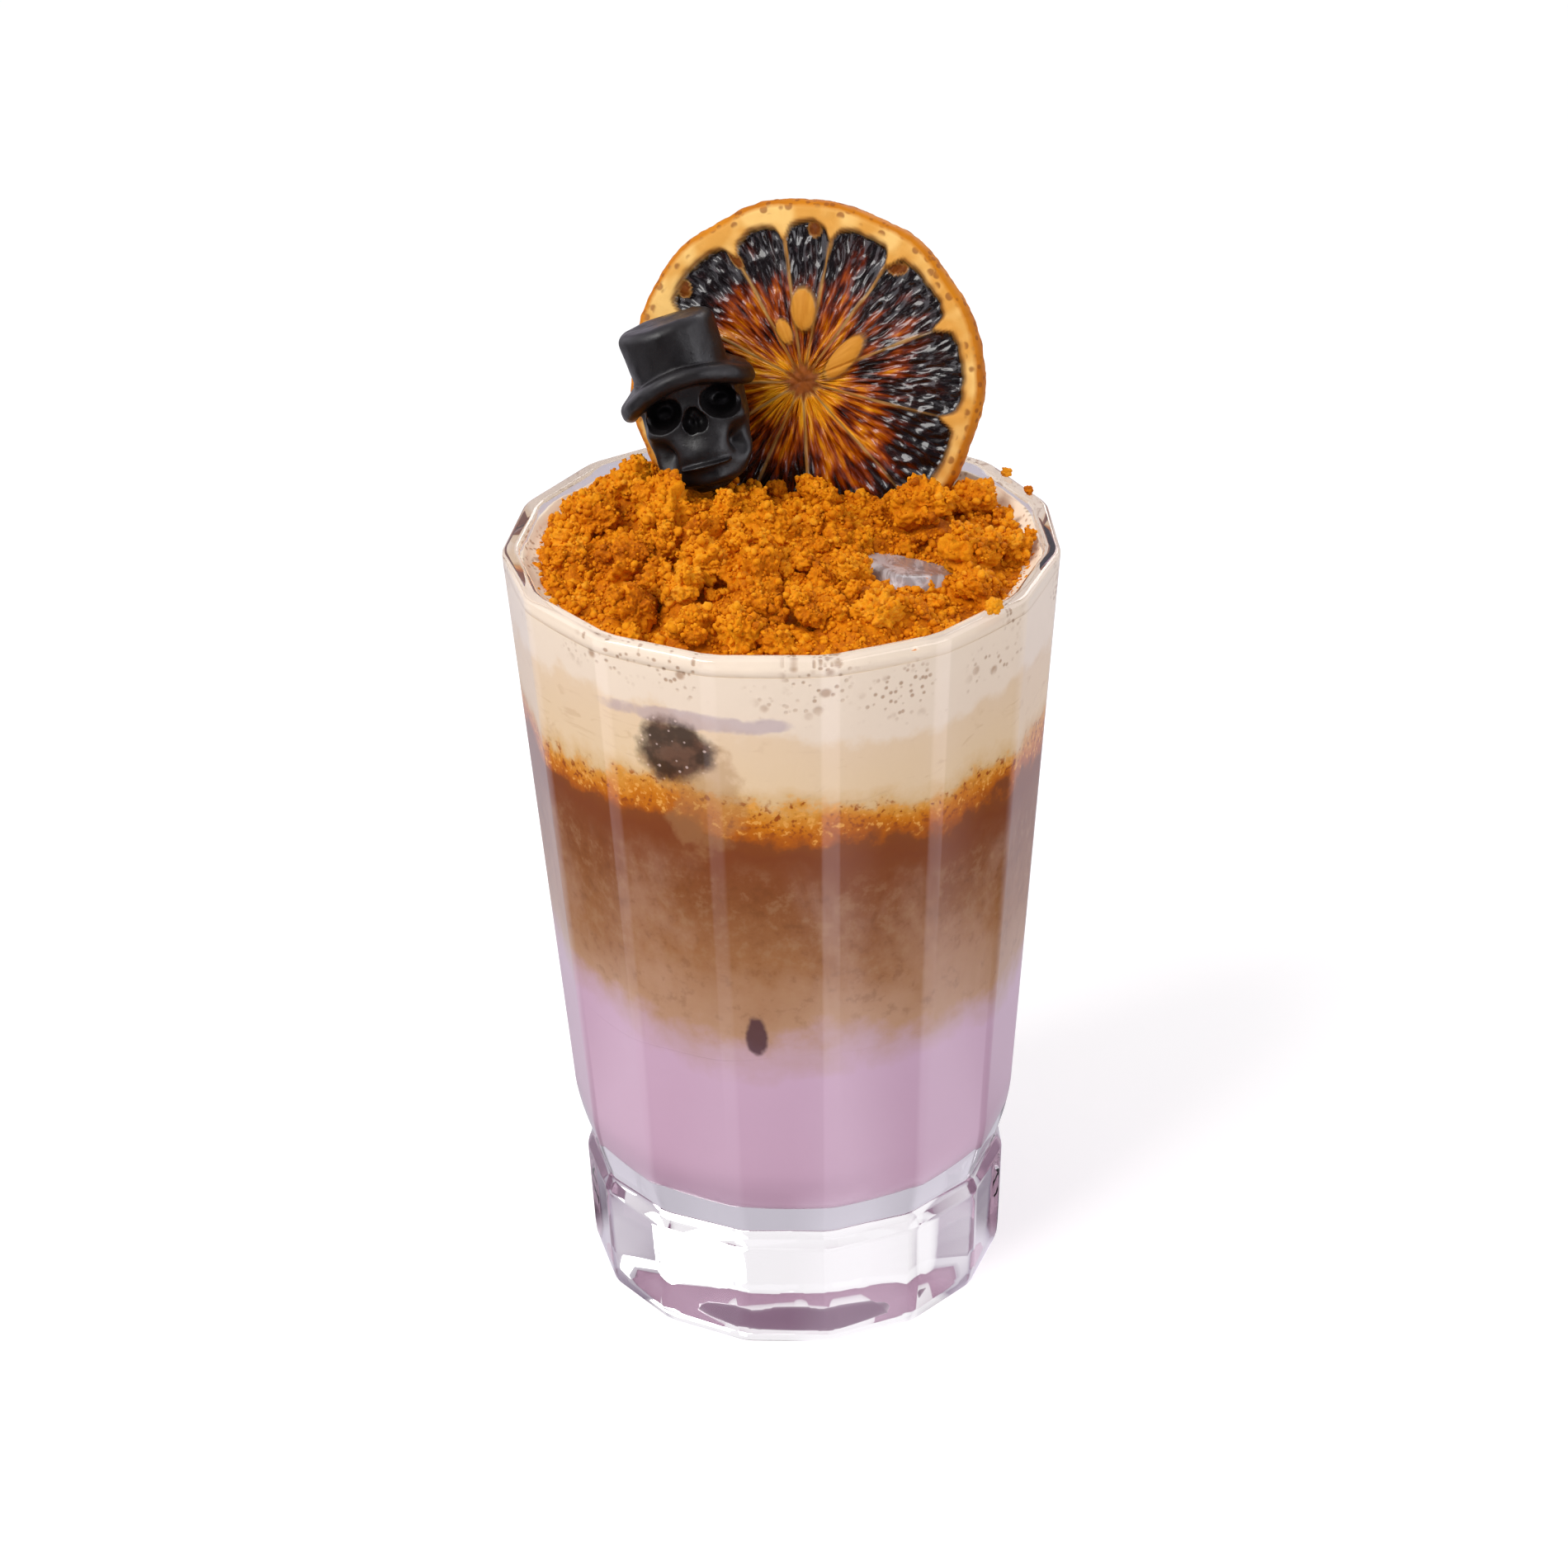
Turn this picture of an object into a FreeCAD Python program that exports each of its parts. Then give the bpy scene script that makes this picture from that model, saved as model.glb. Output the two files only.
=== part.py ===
import FreeCAD, Part

# Layered iced cookie cream drink in a faceted tumbler.
#
# A heavy-footed pressed tumbler with fifteen panels holds lilac milk, coffee, a band of soaked biscuit
# crumbs, coffee cream and white foam. A heap of biscuit crumbs lies on the foam, an ice cube breaks the
# surface, and a dried orange slice and a small moulded skull in a top hat stand in the heap.
#
# Millimetres, +Z up. The origin is the middle of the foot's underside, and -Y is the front.

import math
import os

from BOPTools import SplitAPI

Vector = FreeCAD.Vector
Rotation = FreeCAD.Rotation
Placement = FreeCAD.Placement

# ---- tumbler ----------------------------------------------------------------------------------
PANELS = 15
PANEL_TURN = 8.8  # degrees from the front to the first corner
HEIGHT = 128.8
RIM_RADIUS = 43.3  # over the corners
BELLY_RADIUS = 36.5  # where the straight taper ends
BELLY_Z = 34.0
BELLY_FULLNESS = 1.6  # power of the curve from belly to waist
BELLY_STEPS = 7
WAIST_RADIUS = 33.9
WAIST_Z = 21.8
FOOT_TOP_RADIUS = 34.9
FOOT_TOP_Z = 18.8
FOOT_LOW_RADIUS = 34.3
FOOT_LOW_Z = 3.8
REST_RADIUS = 33.3
EDGE_ROUND = 6.0  # rounding of the upright edges
LIP_ROUND = 0.9
LIP_STEPS = 4
WALL = 2.1  # least glass at the middle of a panel
FLOOR_Z = 24.6
FLOOR_ROUND = 11.0
KICK_RADIUS = 27.0  # hollow in the underside
KICK_DEPTH = 1.2

# ---- drink ------------------------------------------------------------------------------------
FOAM_DROP = 3.5  # foam surface below the rim
MILK_SHARE = 0.322  # of the drink's depth, from the floor up
COFFEE_SHARE = 0.703
CRUMB_SHARE = 0.757  # top of the soaked crumbs
CREAM_SHARE = 0.908
MILK_WAVE = 2.4
COFFEE_WAVE = 1.1
BAND_WAVE = 1.5
CREAM_WAVE = 0.5
WAVE_GRID = 15

# ---- crumb heap -------------------------------------------------------------------------------
HEAP_GAP = 0.5  # between the heap's outline and the glass
HEAP_CROWN = 2.9  # height of the heap's body in the middle
HEAP_EDGE = 1.6
HEAP_RAGGED = 0.8  # how far the outline steps back in places
HEAP_THIN = 0.25  # least height, where it is all but bare
HEAP_RINGS = 19
CLUMPS = 84
CLUMP_HEIGHT = 3.6
CLUMP_RADIUS = 4.6
# raised places: x, y, radius, height
MOUNDS = ((-24.0, 16.0, 19.0, 3.6), (-7.0, 4.0, 15.0, 2.6), (2.0, -22.0, 16.0, 1.2))
# bare patches of foam: direction in degrees from the front, distance from the axis, radius
BARE_PATCHES = (
    (-82.0, 40.0, 5.5),
    (-60.0, 40.5, 4.5),
    (53.0, 37.0, 6.5),
    (68.0, 40.0, 6.0),
    (128.0, 40.0, 5.0),
)

# ---- ice cube ---------------------------------------------------------------------------------
ICE_SIZE = 21.0
ICE_ROUND = 2.2
ICE_TURN = (24.0, 13.0, -9.0)
ICE_AT = (20.0, -6.0)
ICE_ABOVE_FOAM = 3.6
ICE_CLEAR = 7.0  # radius of the gap that the heap leaves round it

# ---- dried orange slice -----------------------------------------------------------------------
SLICE_RADIUS = 28.8
SLICE_THICK = 4.6
SLICE_ROUND = 1.6
SLICE_WAVE = 0.28
SLICE_POINTS = 40  # of the uneven outline
SLICE_FOOT = (1.65, 18.49)  # under its lowest point
SLICE_SUNK = 9.2  # lowest point below the foam
SLICE_LEAN = 20.0
SLICE_YAW = -15.0
CORE_OFF = 0.3  # how far the core lies to the right of the middle
CORE_RADIUS = 3.0
PULP_RADIUS = 25.4  # from the core to the pith
SEGMENT_DEPTH = 1.1
SEGMENT_ROUND = 2.3
MEMBRANE = 0.8
# the membranes between the segments, in degrees anticlockwise from the right as seen from the front
MEMBRANES = (-174, -145, -111, -83, -43, -10, 25, 57, 82.5, 101.5, 123, 157)

# ---- skull in a top hat -----------------------------------------------------------------------
SKULL_AT = (-10.3, 17.0)  # under the chin
SKULL_LIFT = 5.0  # chin above the foam
SKULL_TILT = 13.5  # to its right shoulder
SKULL_LEAN = 14.0
SKULL_DEPTH = 15.6
SKULL_HIGH = 18.6  # up to inside the hat
# height, half width, front and back of the skull
SKULL_STATIONS = (
    (0.0, 2.4, -5.6, 0.4),
    (2.2, 6.0, -7.7, 2.8),
    (6.4, 7.7, -7.6, 4.8),
    (10.6, 8.3, -7.3, 7.2),
    (14.4, 8.7, -7.4, 8.2),
    (18.6, 8.4, -7.3, 8.0),
)
# turn from the front, height, spread of both, and size of each swelling or hollow
SKULL_BUMPS = (
    (52, 10.6, 15, 1.3, 1.0),  # cheekbone
    (47, 7.0, 14, 1.9, -2.0),  # hollow of the cheek
    (30, 16.8, 24, 0.9, 0.7),  # brow
    (0, 13.4, 7, 1.6, 0.5),  # bridge of the nose
    (0, 6.6, 24, 2.6, 0.9),  # teeth
    (0, 1.6, 20, 1.3, 0.6),  # chin
    (70, 4.0, 14, 1.9, 0.8),  # corner of the jaw
    (74, 14.0, 16, 2.4, -0.7),  # temple
)
SKULL_RINGS = 22
SKULL_POINTS = 36
SKULL_SQUARE = 0.86  # power of the oval, 1 for an ellipse
EYE_Z = 13.8
EYE_APART = 9.1
EYE_RADIUS = 2.95
NOSE_Z = 11.4
MOUTH_Z = 4.7
HAT_SEAT = 17.2  # underside of the brim
HAT_TILT = 4.0  # further than the skull
HAT_SHIFT = -0.4
BRIM_WIDE = 22.0
BRIM_DEEP = 20.0
BRIM_THICK = 3.0
BRIM_DROOP = 5.8  # of its sides below its middle
BRIM_ROUND = 1.3
CROWN_RADIUS = 7.5
CROWN_FLARE = 0.4
CROWN_HIGH = 7.0  # above the brim
CROWN_ROUND = 1.7


def spread(index):
    """A fixed number between 0 and 1 for each index, well scattered."""
    return math.modf(math.sin(index * 12.9898 + 4.1414) * 43758.5453)[0] % 1.0


def placed(shape, placement):
    """The shape moved by a placement, on top of where it already lies."""
    shape.Placement = placement.multiply(shape.Placement)
    return shape


# ---- tumbler ----------------------------------------------------------------------------------
def corner_angle(index):
    return math.radians(PANEL_TURN + index * 360.0 / PANELS)


def polar(radius, angle, z):
    """A point at an angle measured from the front towards +X."""
    return Vector(radius * math.sin(angle), -radius * math.cos(angle), z)


def panel_ring(radius, z):
    """One level of the tumbler: a fifteen-sided ring with rounded corners."""
    half = math.pi / PANELS
    reach = EDGE_ROUND * math.tan(half)
    dip = EDGE_ROUND * (1.0 / math.cos(half) - 1.0)
    corners = [polar(radius, corner_angle(i), z) for i in range(PANELS)]
    starts, ends = [], []
    for i, corner in enumerate(corners):
        before = (corners[i - 1] - corner).normalize()
        after = (corners[(i + 1) % PANELS] - corner).normalize()
        starts.append(corner + before * reach)
        ends.append(corner + after * reach)
    edges = []
    for i in range(PANELS):
        middle = polar(radius - dip, corner_angle(i), z)
        edges.append(Part.Arc(starts[i], middle, ends[i]).toShape())
        edges.append(Part.makeLine(ends[i], starts[(i + 1) % PANELS]))
    return Part.Wire(edges)


def taper_radius(z):
    """Corner radius of the straight part of the body."""
    share = (z - BELLY_Z) / (HEIGHT - BELLY_Z)
    return BELLY_RADIUS + share * (RIM_RADIUS - BELLY_RADIUS)


def body_levels():
    """(corner radius, z) up the outside, from the resting edge to the lip."""
    levels = [
        (REST_RADIUS, 0.0),
        (FOOT_LOW_RADIUS, FOOT_LOW_Z),
        (FOOT_TOP_RADIUS, FOOT_TOP_Z),
    ]
    for step in range(BELLY_STEPS):
        share = step / BELLY_STEPS
        swell = 1.0 - (1.0 - share) ** BELLY_FULLNESS
        radius = WAIST_RADIUS + (BELLY_RADIUS - WAIST_RADIUS) * swell
        levels.append((radius, WAIST_Z + (BELLY_Z - WAIST_Z) * share))
    levels.append((BELLY_RADIUS, BELLY_Z))
    for step in range(LIP_STEPS + 1):
        turn = math.radians(90.0 * step / LIP_STEPS)
        z = HEIGHT - LIP_ROUND * (1.0 - math.sin(turn))
        levels.append((taper_radius(z) - LIP_ROUND * (1.0 - math.cos(turn)), z))
    return levels


def wall_radius(z):
    """Radius of the round inner wall."""
    return taper_radius(z) * math.cos(math.pi / PANELS) - WALL


def cavity_profile(top):
    """Half outline of the inside, from the middle of the floor up to a level."""
    low = wall_radius(FLOOR_Z)
    slope = math.atan2(wall_radius(HEIGHT) - low, HEIGHT - FLOOR_Z)
    lean = math.pi / 2 + slope
    reach = FLOOR_ROUND * math.tan((math.pi - lean) / 2)
    flat_end = Vector(low - reach, 0, FLOOR_Z)
    centre = Vector(flat_end.x, 0, FLOOR_Z + FLOOR_ROUND)
    wall_start = centre + Vector(math.cos(slope), 0, -math.sin(slope)) * FLOOR_ROUND
    middle_turn = -(math.pi / 2 + slope) / 2
    middle = centre + Vector(math.cos(middle_turn), 0, math.sin(middle_turn)) * FLOOR_ROUND
    wall_end = Vector(wall_radius(top), 0, top)
    return [
        Part.makeLine(Vector(0, 0, FLOOR_Z), flat_end),
        Part.Arc(flat_end, middle, wall_start).toShape(),
        Part.makeLine(wall_start, wall_end),
    ], wall_end


def turned(edges):
    """A solid turned from a closed half outline."""
    face = Part.Face(Part.Wire(edges))
    solid = face.revolve(Vector(0, 0, 0), Vector(0, 0, 1), 360)
    return Part.Solid(solid) if solid.ShapeType != "Solid" else solid


def filled(top):
    """The inside of the tumbler up to a level."""
    edges, wall_end = cavity_profile(top)
    centre = Vector(0, 0, top)
    edges.append(Part.makeLine(wall_end, centre))
    edges.append(Part.makeLine(centre, Vector(0, 0, FLOOR_Z)))
    return turned(edges)


def lip_relief():
    """What rounds the inner edge of the lip."""
    z = HEIGHT - LIP_ROUND
    start = Vector(wall_radius(z), 0, z)
    end = Vector(wall_radius(HEIGHT) + LIP_ROUND, 0, HEIGHT)
    turn = math.radians(45)
    middle = Vector(
        start.x + (end.x - start.x) * (1 - math.cos(turn)), 0, z + LIP_ROUND * math.sin(turn)
    )
    above = Vector(0, 0, HEIGHT + 1)
    return turned(
        [
            Part.makeLine(Vector(0, 0, z), start),
            Part.Arc(start, middle, end).toShape(),
            Part.makeLine(end, Vector(end.x, 0, above.z)),
            Part.makeLine(Vector(end.x, 0, above.z), above),
            Part.makeLine(above, Vector(0, 0, z)),
        ]
    )


def kick():
    """The shallow hollow under the foot."""
    edge = Vector(KICK_RADIUS, 0, 0)
    top = Vector(0, 0, KICK_DEPTH)
    half = KICK_RADIUS / 2
    dome = (KICK_RADIUS**2 + KICK_DEPTH**2) / (2 * KICK_DEPTH)
    middle = Vector(half, 0, KICK_DEPTH - dome + math.sqrt(dome**2 - half**2))
    under = Vector(0, 0, -1)
    return turned(
        [
            Part.Arc(top, middle, edge).toShape(),
            Part.makeLine(edge, Vector(KICK_RADIUS, 0, -1)),
            Part.makeLine(Vector(KICK_RADIUS, 0, -1), under),
            Part.makeLine(under, top),
        ]
    )


def tumbler():
    rings = [panel_ring(radius, z) for radius, z in body_levels()]
    outside = Part.makeLoft(rings, True, True)
    return outside.cut([filled(HEIGHT - LIP_ROUND), lip_relief(), kick()])


# ---- drink ------------------------------------------------------------------------------------
def wave(x, y, size, seed):
    """Gentle unevenness of a layer, from a few crossing ripples."""
    total = 0.0
    for n in range(1, 6):
        turn = 2 * math.pi * spread(seed + n)
        length = RIM_RADIUS * (1.5 / n + 0.25)
        along = x * math.cos(turn) + y * math.sin(turn)
        total += math.sin(2 * math.pi * (along / length + spread(seed + 7 * n))) / (1 + 0.5 * n)
    return size * total / 1.6


def layer_sheet(height, size, seed):
    """An uneven sheet that parts two layers, wider than the tumbler."""
    half = RIM_RADIUS + 3.0
    step = 2 * half / (WAVE_GRID - 1)
    rows = []
    for i in range(WAVE_GRID):
        x = -half + i * step
        ys = [-half + j * step for j in range(WAVE_GRID)]
        rows.append([Vector(x, y, height + wave(x, y, size, seed)) for y in ys])
    surface = Part.BSplineSurface()
    surface.interpolate(rows)
    return surface.toShape()


def foam_z():
    return HEIGHT - FOAM_DROP


def drink_level(share):
    """Height at this share of the drink's depth."""
    return FLOOR_Z + share * (foam_z() - FLOOR_Z)


def drink_layers():
    """The four layers under the foam and the foam itself, from the floor up."""
    sheets = [
        layer_sheet(drink_level(MILK_SHARE), MILK_WAVE, 11),
        layer_sheet(drink_level(COFFEE_SHARE), COFFEE_WAVE, 23),
        layer_sheet(drink_level(CRUMB_SHARE), BAND_WAVE, 31),
        layer_sheet(drink_level(CREAM_SHARE), CREAM_WAVE, 43),
    ]
    split = SplitAPI.slice(filled(foam_z()), sheets, "Split")
    layers = sorted(split.Solids, key=lambda solid: solid.CenterOfMass.z)
    return dict(zip(("milk", "coffee", "soaked_crumbs", "cream", "foam"), layers))


# ---- crumb heap -------------------------------------------------------------------------------
def clump_list():
    """Centres, radii and heights of the clumps, scattered over the heap."""
    reach = wall_radius(foam_z()) - HEAP_GAP
    clumps = []
    for i in range(CLUMPS):
        turn = i * math.radians(137.5)
        out = reach * math.sqrt((i + 0.5) / CLUMPS) * 0.98
        radius = CLUMP_RADIUS * (0.55 + 0.75 * spread(i + 3))
        height = CLUMP_HEIGHT * (0.35 + 0.85 * spread(2 * i + 17))
        shift = (spread(5 * i + 1) - 0.5) * CLUMP_RADIUS
        clumps.append((out * math.sin(turn) + shift, -out * math.cos(turn), radius, height))
    return clumps


def bare_share(x, y):
    """0 where the foam is bare, 1 well away from the bare patches."""
    share = 1.0
    spots = [(polar(out, math.radians(turn), 0), size) for turn, out, size in BARE_PATCHES]
    spots.append((Vector(ICE_AT[0], ICE_AT[1], 0), ICE_CLEAR))
    for centre, size in spots:
        away = math.hypot(x - centre.x, y - centre.y) / size
        share = min(share, max(0.0, (away - 0.8) * 2.2))
    return min(share, 1.0)


def heap_height(x, y, clumps):
    """Height of the crumbs above the foam."""
    reach = wall_radius(foam_z()) - HEAP_GAP
    out = min(1.0, math.hypot(x, y) / reach)
    body = HEAP_EDGE + (HEAP_CROWN - HEAP_EDGE) * (1 - out**2.5)
    for cx, cy, radius, height in MOUNDS:
        away = ((x - cx) ** 2 + (y - cy) ** 2) / radius**2
        body += height * math.exp(-2.2 * away) * (1 - out**8)
    lump = 0.0
    for cx, cy, radius, height in clumps:
        near = ((x - cx) ** 2 + (y - cy) ** 2) / radius**2
        if near < 1.0:
            lump = max(lump, height * (1 - near) ** 0.45)
    return max(HEAP_THIN, (body + lump) * bare_share(x, y) * (1 - 0.4 * out**8))


def heap_radius(angle):
    """Outline of the heap, a little ragged and set back from the glass."""
    reach = wall_radius(foam_z()) - HEAP_GAP
    ragged = math.sin(7 * angle + 0.6) * math.sin(13 * angle + 2.1) + 0.4 * math.sin(22 * angle)
    return reach - HEAP_RAGGED * max(0.0, ragged)


def faceted(points, triangles):
    """A solid from corner points and triples of point numbers."""
    faces = []
    for a, b, c in triangles:
        loop = Part.makePolygon([points[a], points[b], points[c], points[a]])
        faces.append(Part.Face(loop))
    shell = Part.makeShell(faces)
    return Part.Solid(shell)


def ring_point(ring, place):
    """Number of a lattice point: ring k holds 6k points round the middle one."""
    return 0 if ring == 0 else 1 + 3 * ring * (ring - 1) + place % (6 * ring)


def crumb_heap():
    base = foam_z()
    clumps = clump_list()
    points = [Vector(0, 0, base + heap_height(0, 0, clumps))]
    for ring in range(1, HEAP_RINGS + 1):
        for place in range(6 * ring):
            angle = 2 * math.pi * place / (6 * ring)
            spot = polar(heap_radius(angle) * ring / HEAP_RINGS, angle, base)
            points.append(spot + Vector(0, 0, heap_height(spot.x, spot.y, clumps)))
    triangles = []
    for ring in range(1, HEAP_RINGS + 1):
        for place in range(6 * ring):
            sector, step = divmod(place, ring)
            inner = ring_point(ring - 1, sector * (ring - 1) + step)
            triangles.append((ring_point(ring, place), ring_point(ring, place + 1), inner))
            if step < ring - 1:
                beside = ring_point(ring - 1, sector * (ring - 1) + step + 1)
                triangles.append((ring_point(ring, place + 1), beside, inner))
    foot = len(points)
    edge = 6 * HEAP_RINGS
    for place in range(edge):
        top = points[ring_point(HEAP_RINGS, place)]
        points.append(Vector(top.x, top.y, base))
    points.append(Vector(0, 0, base))
    for place in range(edge):
        after = (place + 1) % edge
        above = ring_point(HEAP_RINGS, place)
        triangles.append((foot + place, foot + after, above))
        triangles.append((foot + after, ring_point(HEAP_RINGS, place + 1), above))
        triangles.append((foot + edge, foot + after, foot + place))
    return faceted(points, triangles)


# ---- ice cube ---------------------------------------------------------------------------------
def ice_cube():
    cube = Part.makeBox(ICE_SIZE, ICE_SIZE, ICE_SIZE)
    cube = cube.makeFillet(ICE_ROUND, cube.Edges)
    half = ICE_SIZE / 2
    cube.translate(Vector(-half, -half, -half))
    cube = placed(cube, Placement(Vector(0, 0, 0), Rotation(*ICE_TURN)))
    lift = foam_z() + ICE_ABOVE_FOAM - cube.BoundBox.ZMax
    cube.translate(Vector(ICE_AT[0], ICE_AT[1], lift))
    return cube


# ---- dried orange slice -----------------------------------------------------------------------
def slice_placement():
    """Stands a disc made flat round the origin, with its face up, in the heap."""
    upright = Rotation(Vector(1, 0, 0), 90 - SLICE_LEAN)
    turned_in = Rotation(Vector(0, 0, 1), SLICE_YAW)
    rotation = turned_in.multiply(upright)
    foot = Vector(*SLICE_FOOT, foam_z() - SLICE_SUNK)
    return Placement(foot + rotation.multVec(Vector(0, SLICE_RADIUS, 0)), rotation)


def slice_disc():
    """The plain slice with its uneven outline, lying flat."""
    outline = []
    for i in range(SLICE_POINTS):
        turn = 2 * math.pi * i / SLICE_POINTS
        ripple = math.sin(3 * turn + 1.0) + 0.6 * math.sin(8 * turn) + 0.5 * math.sin(13 * turn + 2)
        radius = SLICE_RADIUS + SLICE_WAVE * ripple
        outline.append(Vector(radius * math.cos(turn), radius * math.sin(turn), 0))
    curve = Part.BSplineCurve()
    curve.interpolate(outline, PeriodicFlag=True)
    face = Part.Face(Part.Wire(curve.toShape()))
    disc = face.extrude(Vector(0, 0, SLICE_THICK))
    disc.translate(Vector(0, 0, -SLICE_THICK / 2))
    return disc


def segment_pocket(index):
    """The sunk pulp of one segment on one face: a wedge with a rounded outer lobe."""
    begin = math.radians(MEMBRANES[index - 1])
    end = math.radians(MEMBRANES[index])
    if end < begin:
        end += 2 * math.pi
    half_wall = MEMBRANE / 2

    def at(radius, turn, side):
        shift = math.asin(half_wall / radius) * side
        turned_to = turn + shift
        return Vector(CORE_OFF + radius * math.cos(turned_to), radius * math.sin(turned_to), 0)

    outer = PULP_RADIUS - 0.7 * spread(index + 61)
    crest = at(outer + 0.2, (begin + end) / 2, 0)
    inner_begin, inner_end = at(CORE_RADIUS, begin, 1), at(CORE_RADIUS, end, -1)
    outer_begin, outer_end = at(outer, begin, 1), at(outer, end, -1)
    loop = Part.Wire(
        [
            Part.makeLine(inner_begin, outer_begin),
            Part.Arc(outer_begin, crest, outer_end).toShape(),
            Part.makeLine(outer_end, inner_end),
            Part.makeLine(inner_end, inner_begin),
        ]
    )
    wedge = Part.Face(loop).extrude(Vector(0, 0, SEGMENT_DEPTH + 1))
    lobe = [
        edge
        for edge in wedge.Edges
        if abs(edge.tangentAt(edge.FirstParameter).z) > 0.9
        and math.hypot(edge.CenterOfMass.x - CORE_OFF, edge.CenterOfMass.y) > outer - 1
    ]
    return wedge.makeFillet(SEGMENT_ROUND, lobe)


def orange_slice():
    disc = slice_disc()
    rims = [edge for edge in disc.Edges if edge.Length > SLICE_RADIUS * 3]
    disc = disc.makeFillet(SLICE_ROUND, rims)
    pockets = []
    for index in range(len(MEMBRANES)):
        front = segment_pocket(index)
        front.translate(Vector(0, 0, SLICE_THICK / 2 - SEGMENT_DEPTH))
        back = segment_pocket(index)
        back.translate(Vector(0, 0, -SLICE_THICK / 2 - 1))
        pockets += [front, back]
    return placed(disc.cut(pockets), slice_placement())


# ---- skull in a top hat -----------------------------------------------------------------------
def ball(x, y, z, half_x, half_y, half_z):
    """An ellipsoid from its middle and half sizes."""
    matrix = FreeCAD.Matrix()
    matrix.scale(half_x, half_y, half_z)
    shape = Part.makeSphere(1.0).transformGeometry(matrix)
    shape.translate(Vector(x, y, z))
    return shape


def mirrored_balls(x, y, z, half_x, half_y, half_z):
    return [ball(side * x, y, z, half_x, half_y, half_z) for side in (-1, 1)]


def between(stations, z):
    """Smooth value at a height from rows of height and values."""
    for low, high in zip(stations, stations[1:]):
        if z <= high[0]:
            share = (z - low[0]) / (high[0] - low[0])
            share = share * share * (3 - 2 * share)
            return [a + (b - a) * share for a, b in zip(low[1:], high[1:])]
    return list(stations[-1][1:])


def skull_swell(turn, z):
    """How far the bone stands out (+) or falls in (-) at this turn from the front."""
    total = 0.0
    for at_turn, at_z, wide, high, size in SKULL_BUMPS:
        across = (abs(turn) - at_turn) / wide
        along = (z - at_z) / high
        total += size * math.exp(-(across**2) - along**2)
    return total


def skull_ring(z):
    """One level outline of the skull: an oval, squarer than an ellipse."""
    half_wide, front, back = between(SKULL_STATIONS, z)
    middle = front + 0.48 * (back - front)
    points = []
    for i in range(SKULL_POINTS):
        turn = 360 * (i + 0.5) / SKULL_POINTS - 180
        side, ahead = math.sin(math.radians(turn)), math.cos(math.radians(turn))
        reach = middle - front if ahead > 0 else back - middle
        x = half_wide * math.copysign(abs(side) ** SKULL_SQUARE, side)
        y = middle - reach * math.copysign(abs(ahead) ** SKULL_SQUARE, ahead)
        swell = skull_swell(turn, z)
        points.append(Vector(x + swell * side, y - swell * ahead, z))
    curve = Part.BSplineCurve()
    curve.interpolate(points, PeriodicFlag=True)
    return Part.Wire(curve.toShape())


def skull_head():
    """Skull with its chin at the origin, looking along -Y."""
    rings = [skull_ring(SKULL_HIGH * i / SKULL_RINGS) for i in range(SKULL_RINGS + 1)]
    head = Part.makeLoft(rings, True, False)
    eye_x = EYE_APART / 2
    face_y = -SKULL_DEPTH / 2
    cuts = mirrored_balls(eye_x, face_y + 1.3, EYE_Z, EYE_RADIUS, 3.2, EYE_RADIUS * 0.9)
    cuts += mirrored_balls(0.7, face_y + 0.9, NOSE_Z, 1.25, 2.4, 1.6)
    cuts.append(ball(0, face_y + 0.9, NOSE_Z + 1.0, 1.3, 2.3, 1.6))
    cuts.append(ball(0, face_y + 0.2, MOUTH_Z, 4.2, 2.2, 0.4))
    return head.cut(cuts).fuse(mirrored_balls(eye_x, face_y + 5.2, EYE_Z - 0.9, 1.7, 1.5, 1.2))


def brim():
    """An oval of thick sheet, bent over a drum so that its sides droop."""
    half_wide, half_deep = BRIM_WIDE / 2, BRIM_DEEP / 2
    bend = (half_wide**2 + BRIM_DROOP**2) / (2 * BRIM_DROOP)
    axis_at = Vector(0, -BRIM_DEEP, HAT_SEAT - bend)
    along = Vector(0, 1, 0)
    drums = [Part.makeCylinder(size, 2 * BRIM_DEEP, axis_at, along) for size in (bend + BRIM_THICK, bend)]
    for drum in drums:
        drum.rotate(axis_at, along, 90)  # the drum's seam stays clear of the brim
    oval = Part.Ellipse(Vector(0, 0, HAT_SEAT - bend), half_wide, half_deep).toShape()
    block = Part.Face(Part.Wire(oval)).extrude(Vector(0, 0, bend + 2 * BRIM_THICK))
    piece = drums[0].cut(drums[1]).common(block)
    rims = [edge for edge in piece.Edges if not isinstance(edge.Curve, Part.Line)]
    return piece.makeFillet(BRIM_ROUND, rims)


def crown():
    base = Vector(0, 0, HAT_SEAT + BRIM_THICK / 2 - BRIM_DROOP / 2)
    high = BRIM_THICK / 2 + BRIM_DROOP / 2 + CROWN_HIGH
    piece = Part.makeCone(CROWN_RADIUS, CROWN_RADIUS + CROWN_FLARE, high, base)
    top = [edge for edge in piece.Edges if edge.CenterOfMass.z > base.z + high - 0.01]
    return piece.makeFillet(CROWN_ROUND, top)


def skull():
    seat = Vector(0, 0, HAT_SEAT)
    jaunty = Placement(Vector(HAT_SHIFT, 0, 0), Rotation(Vector(0, 1, 0), -HAT_TILT), seat)
    piece = skull_head().fuse([placed(brim(), jaunty), placed(crown(), jaunty)])
    tilt = Rotation(Vector(0, 1, 0), -SKULL_TILT)
    lean = Rotation(Vector(1, 0, 0), -SKULL_LEAN)
    chin = Vector(SKULL_AT[0], SKULL_AT[1], foam_z() + SKULL_LIFT)
    return placed(piece, Placement(chin, lean.multiply(tilt)))


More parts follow.
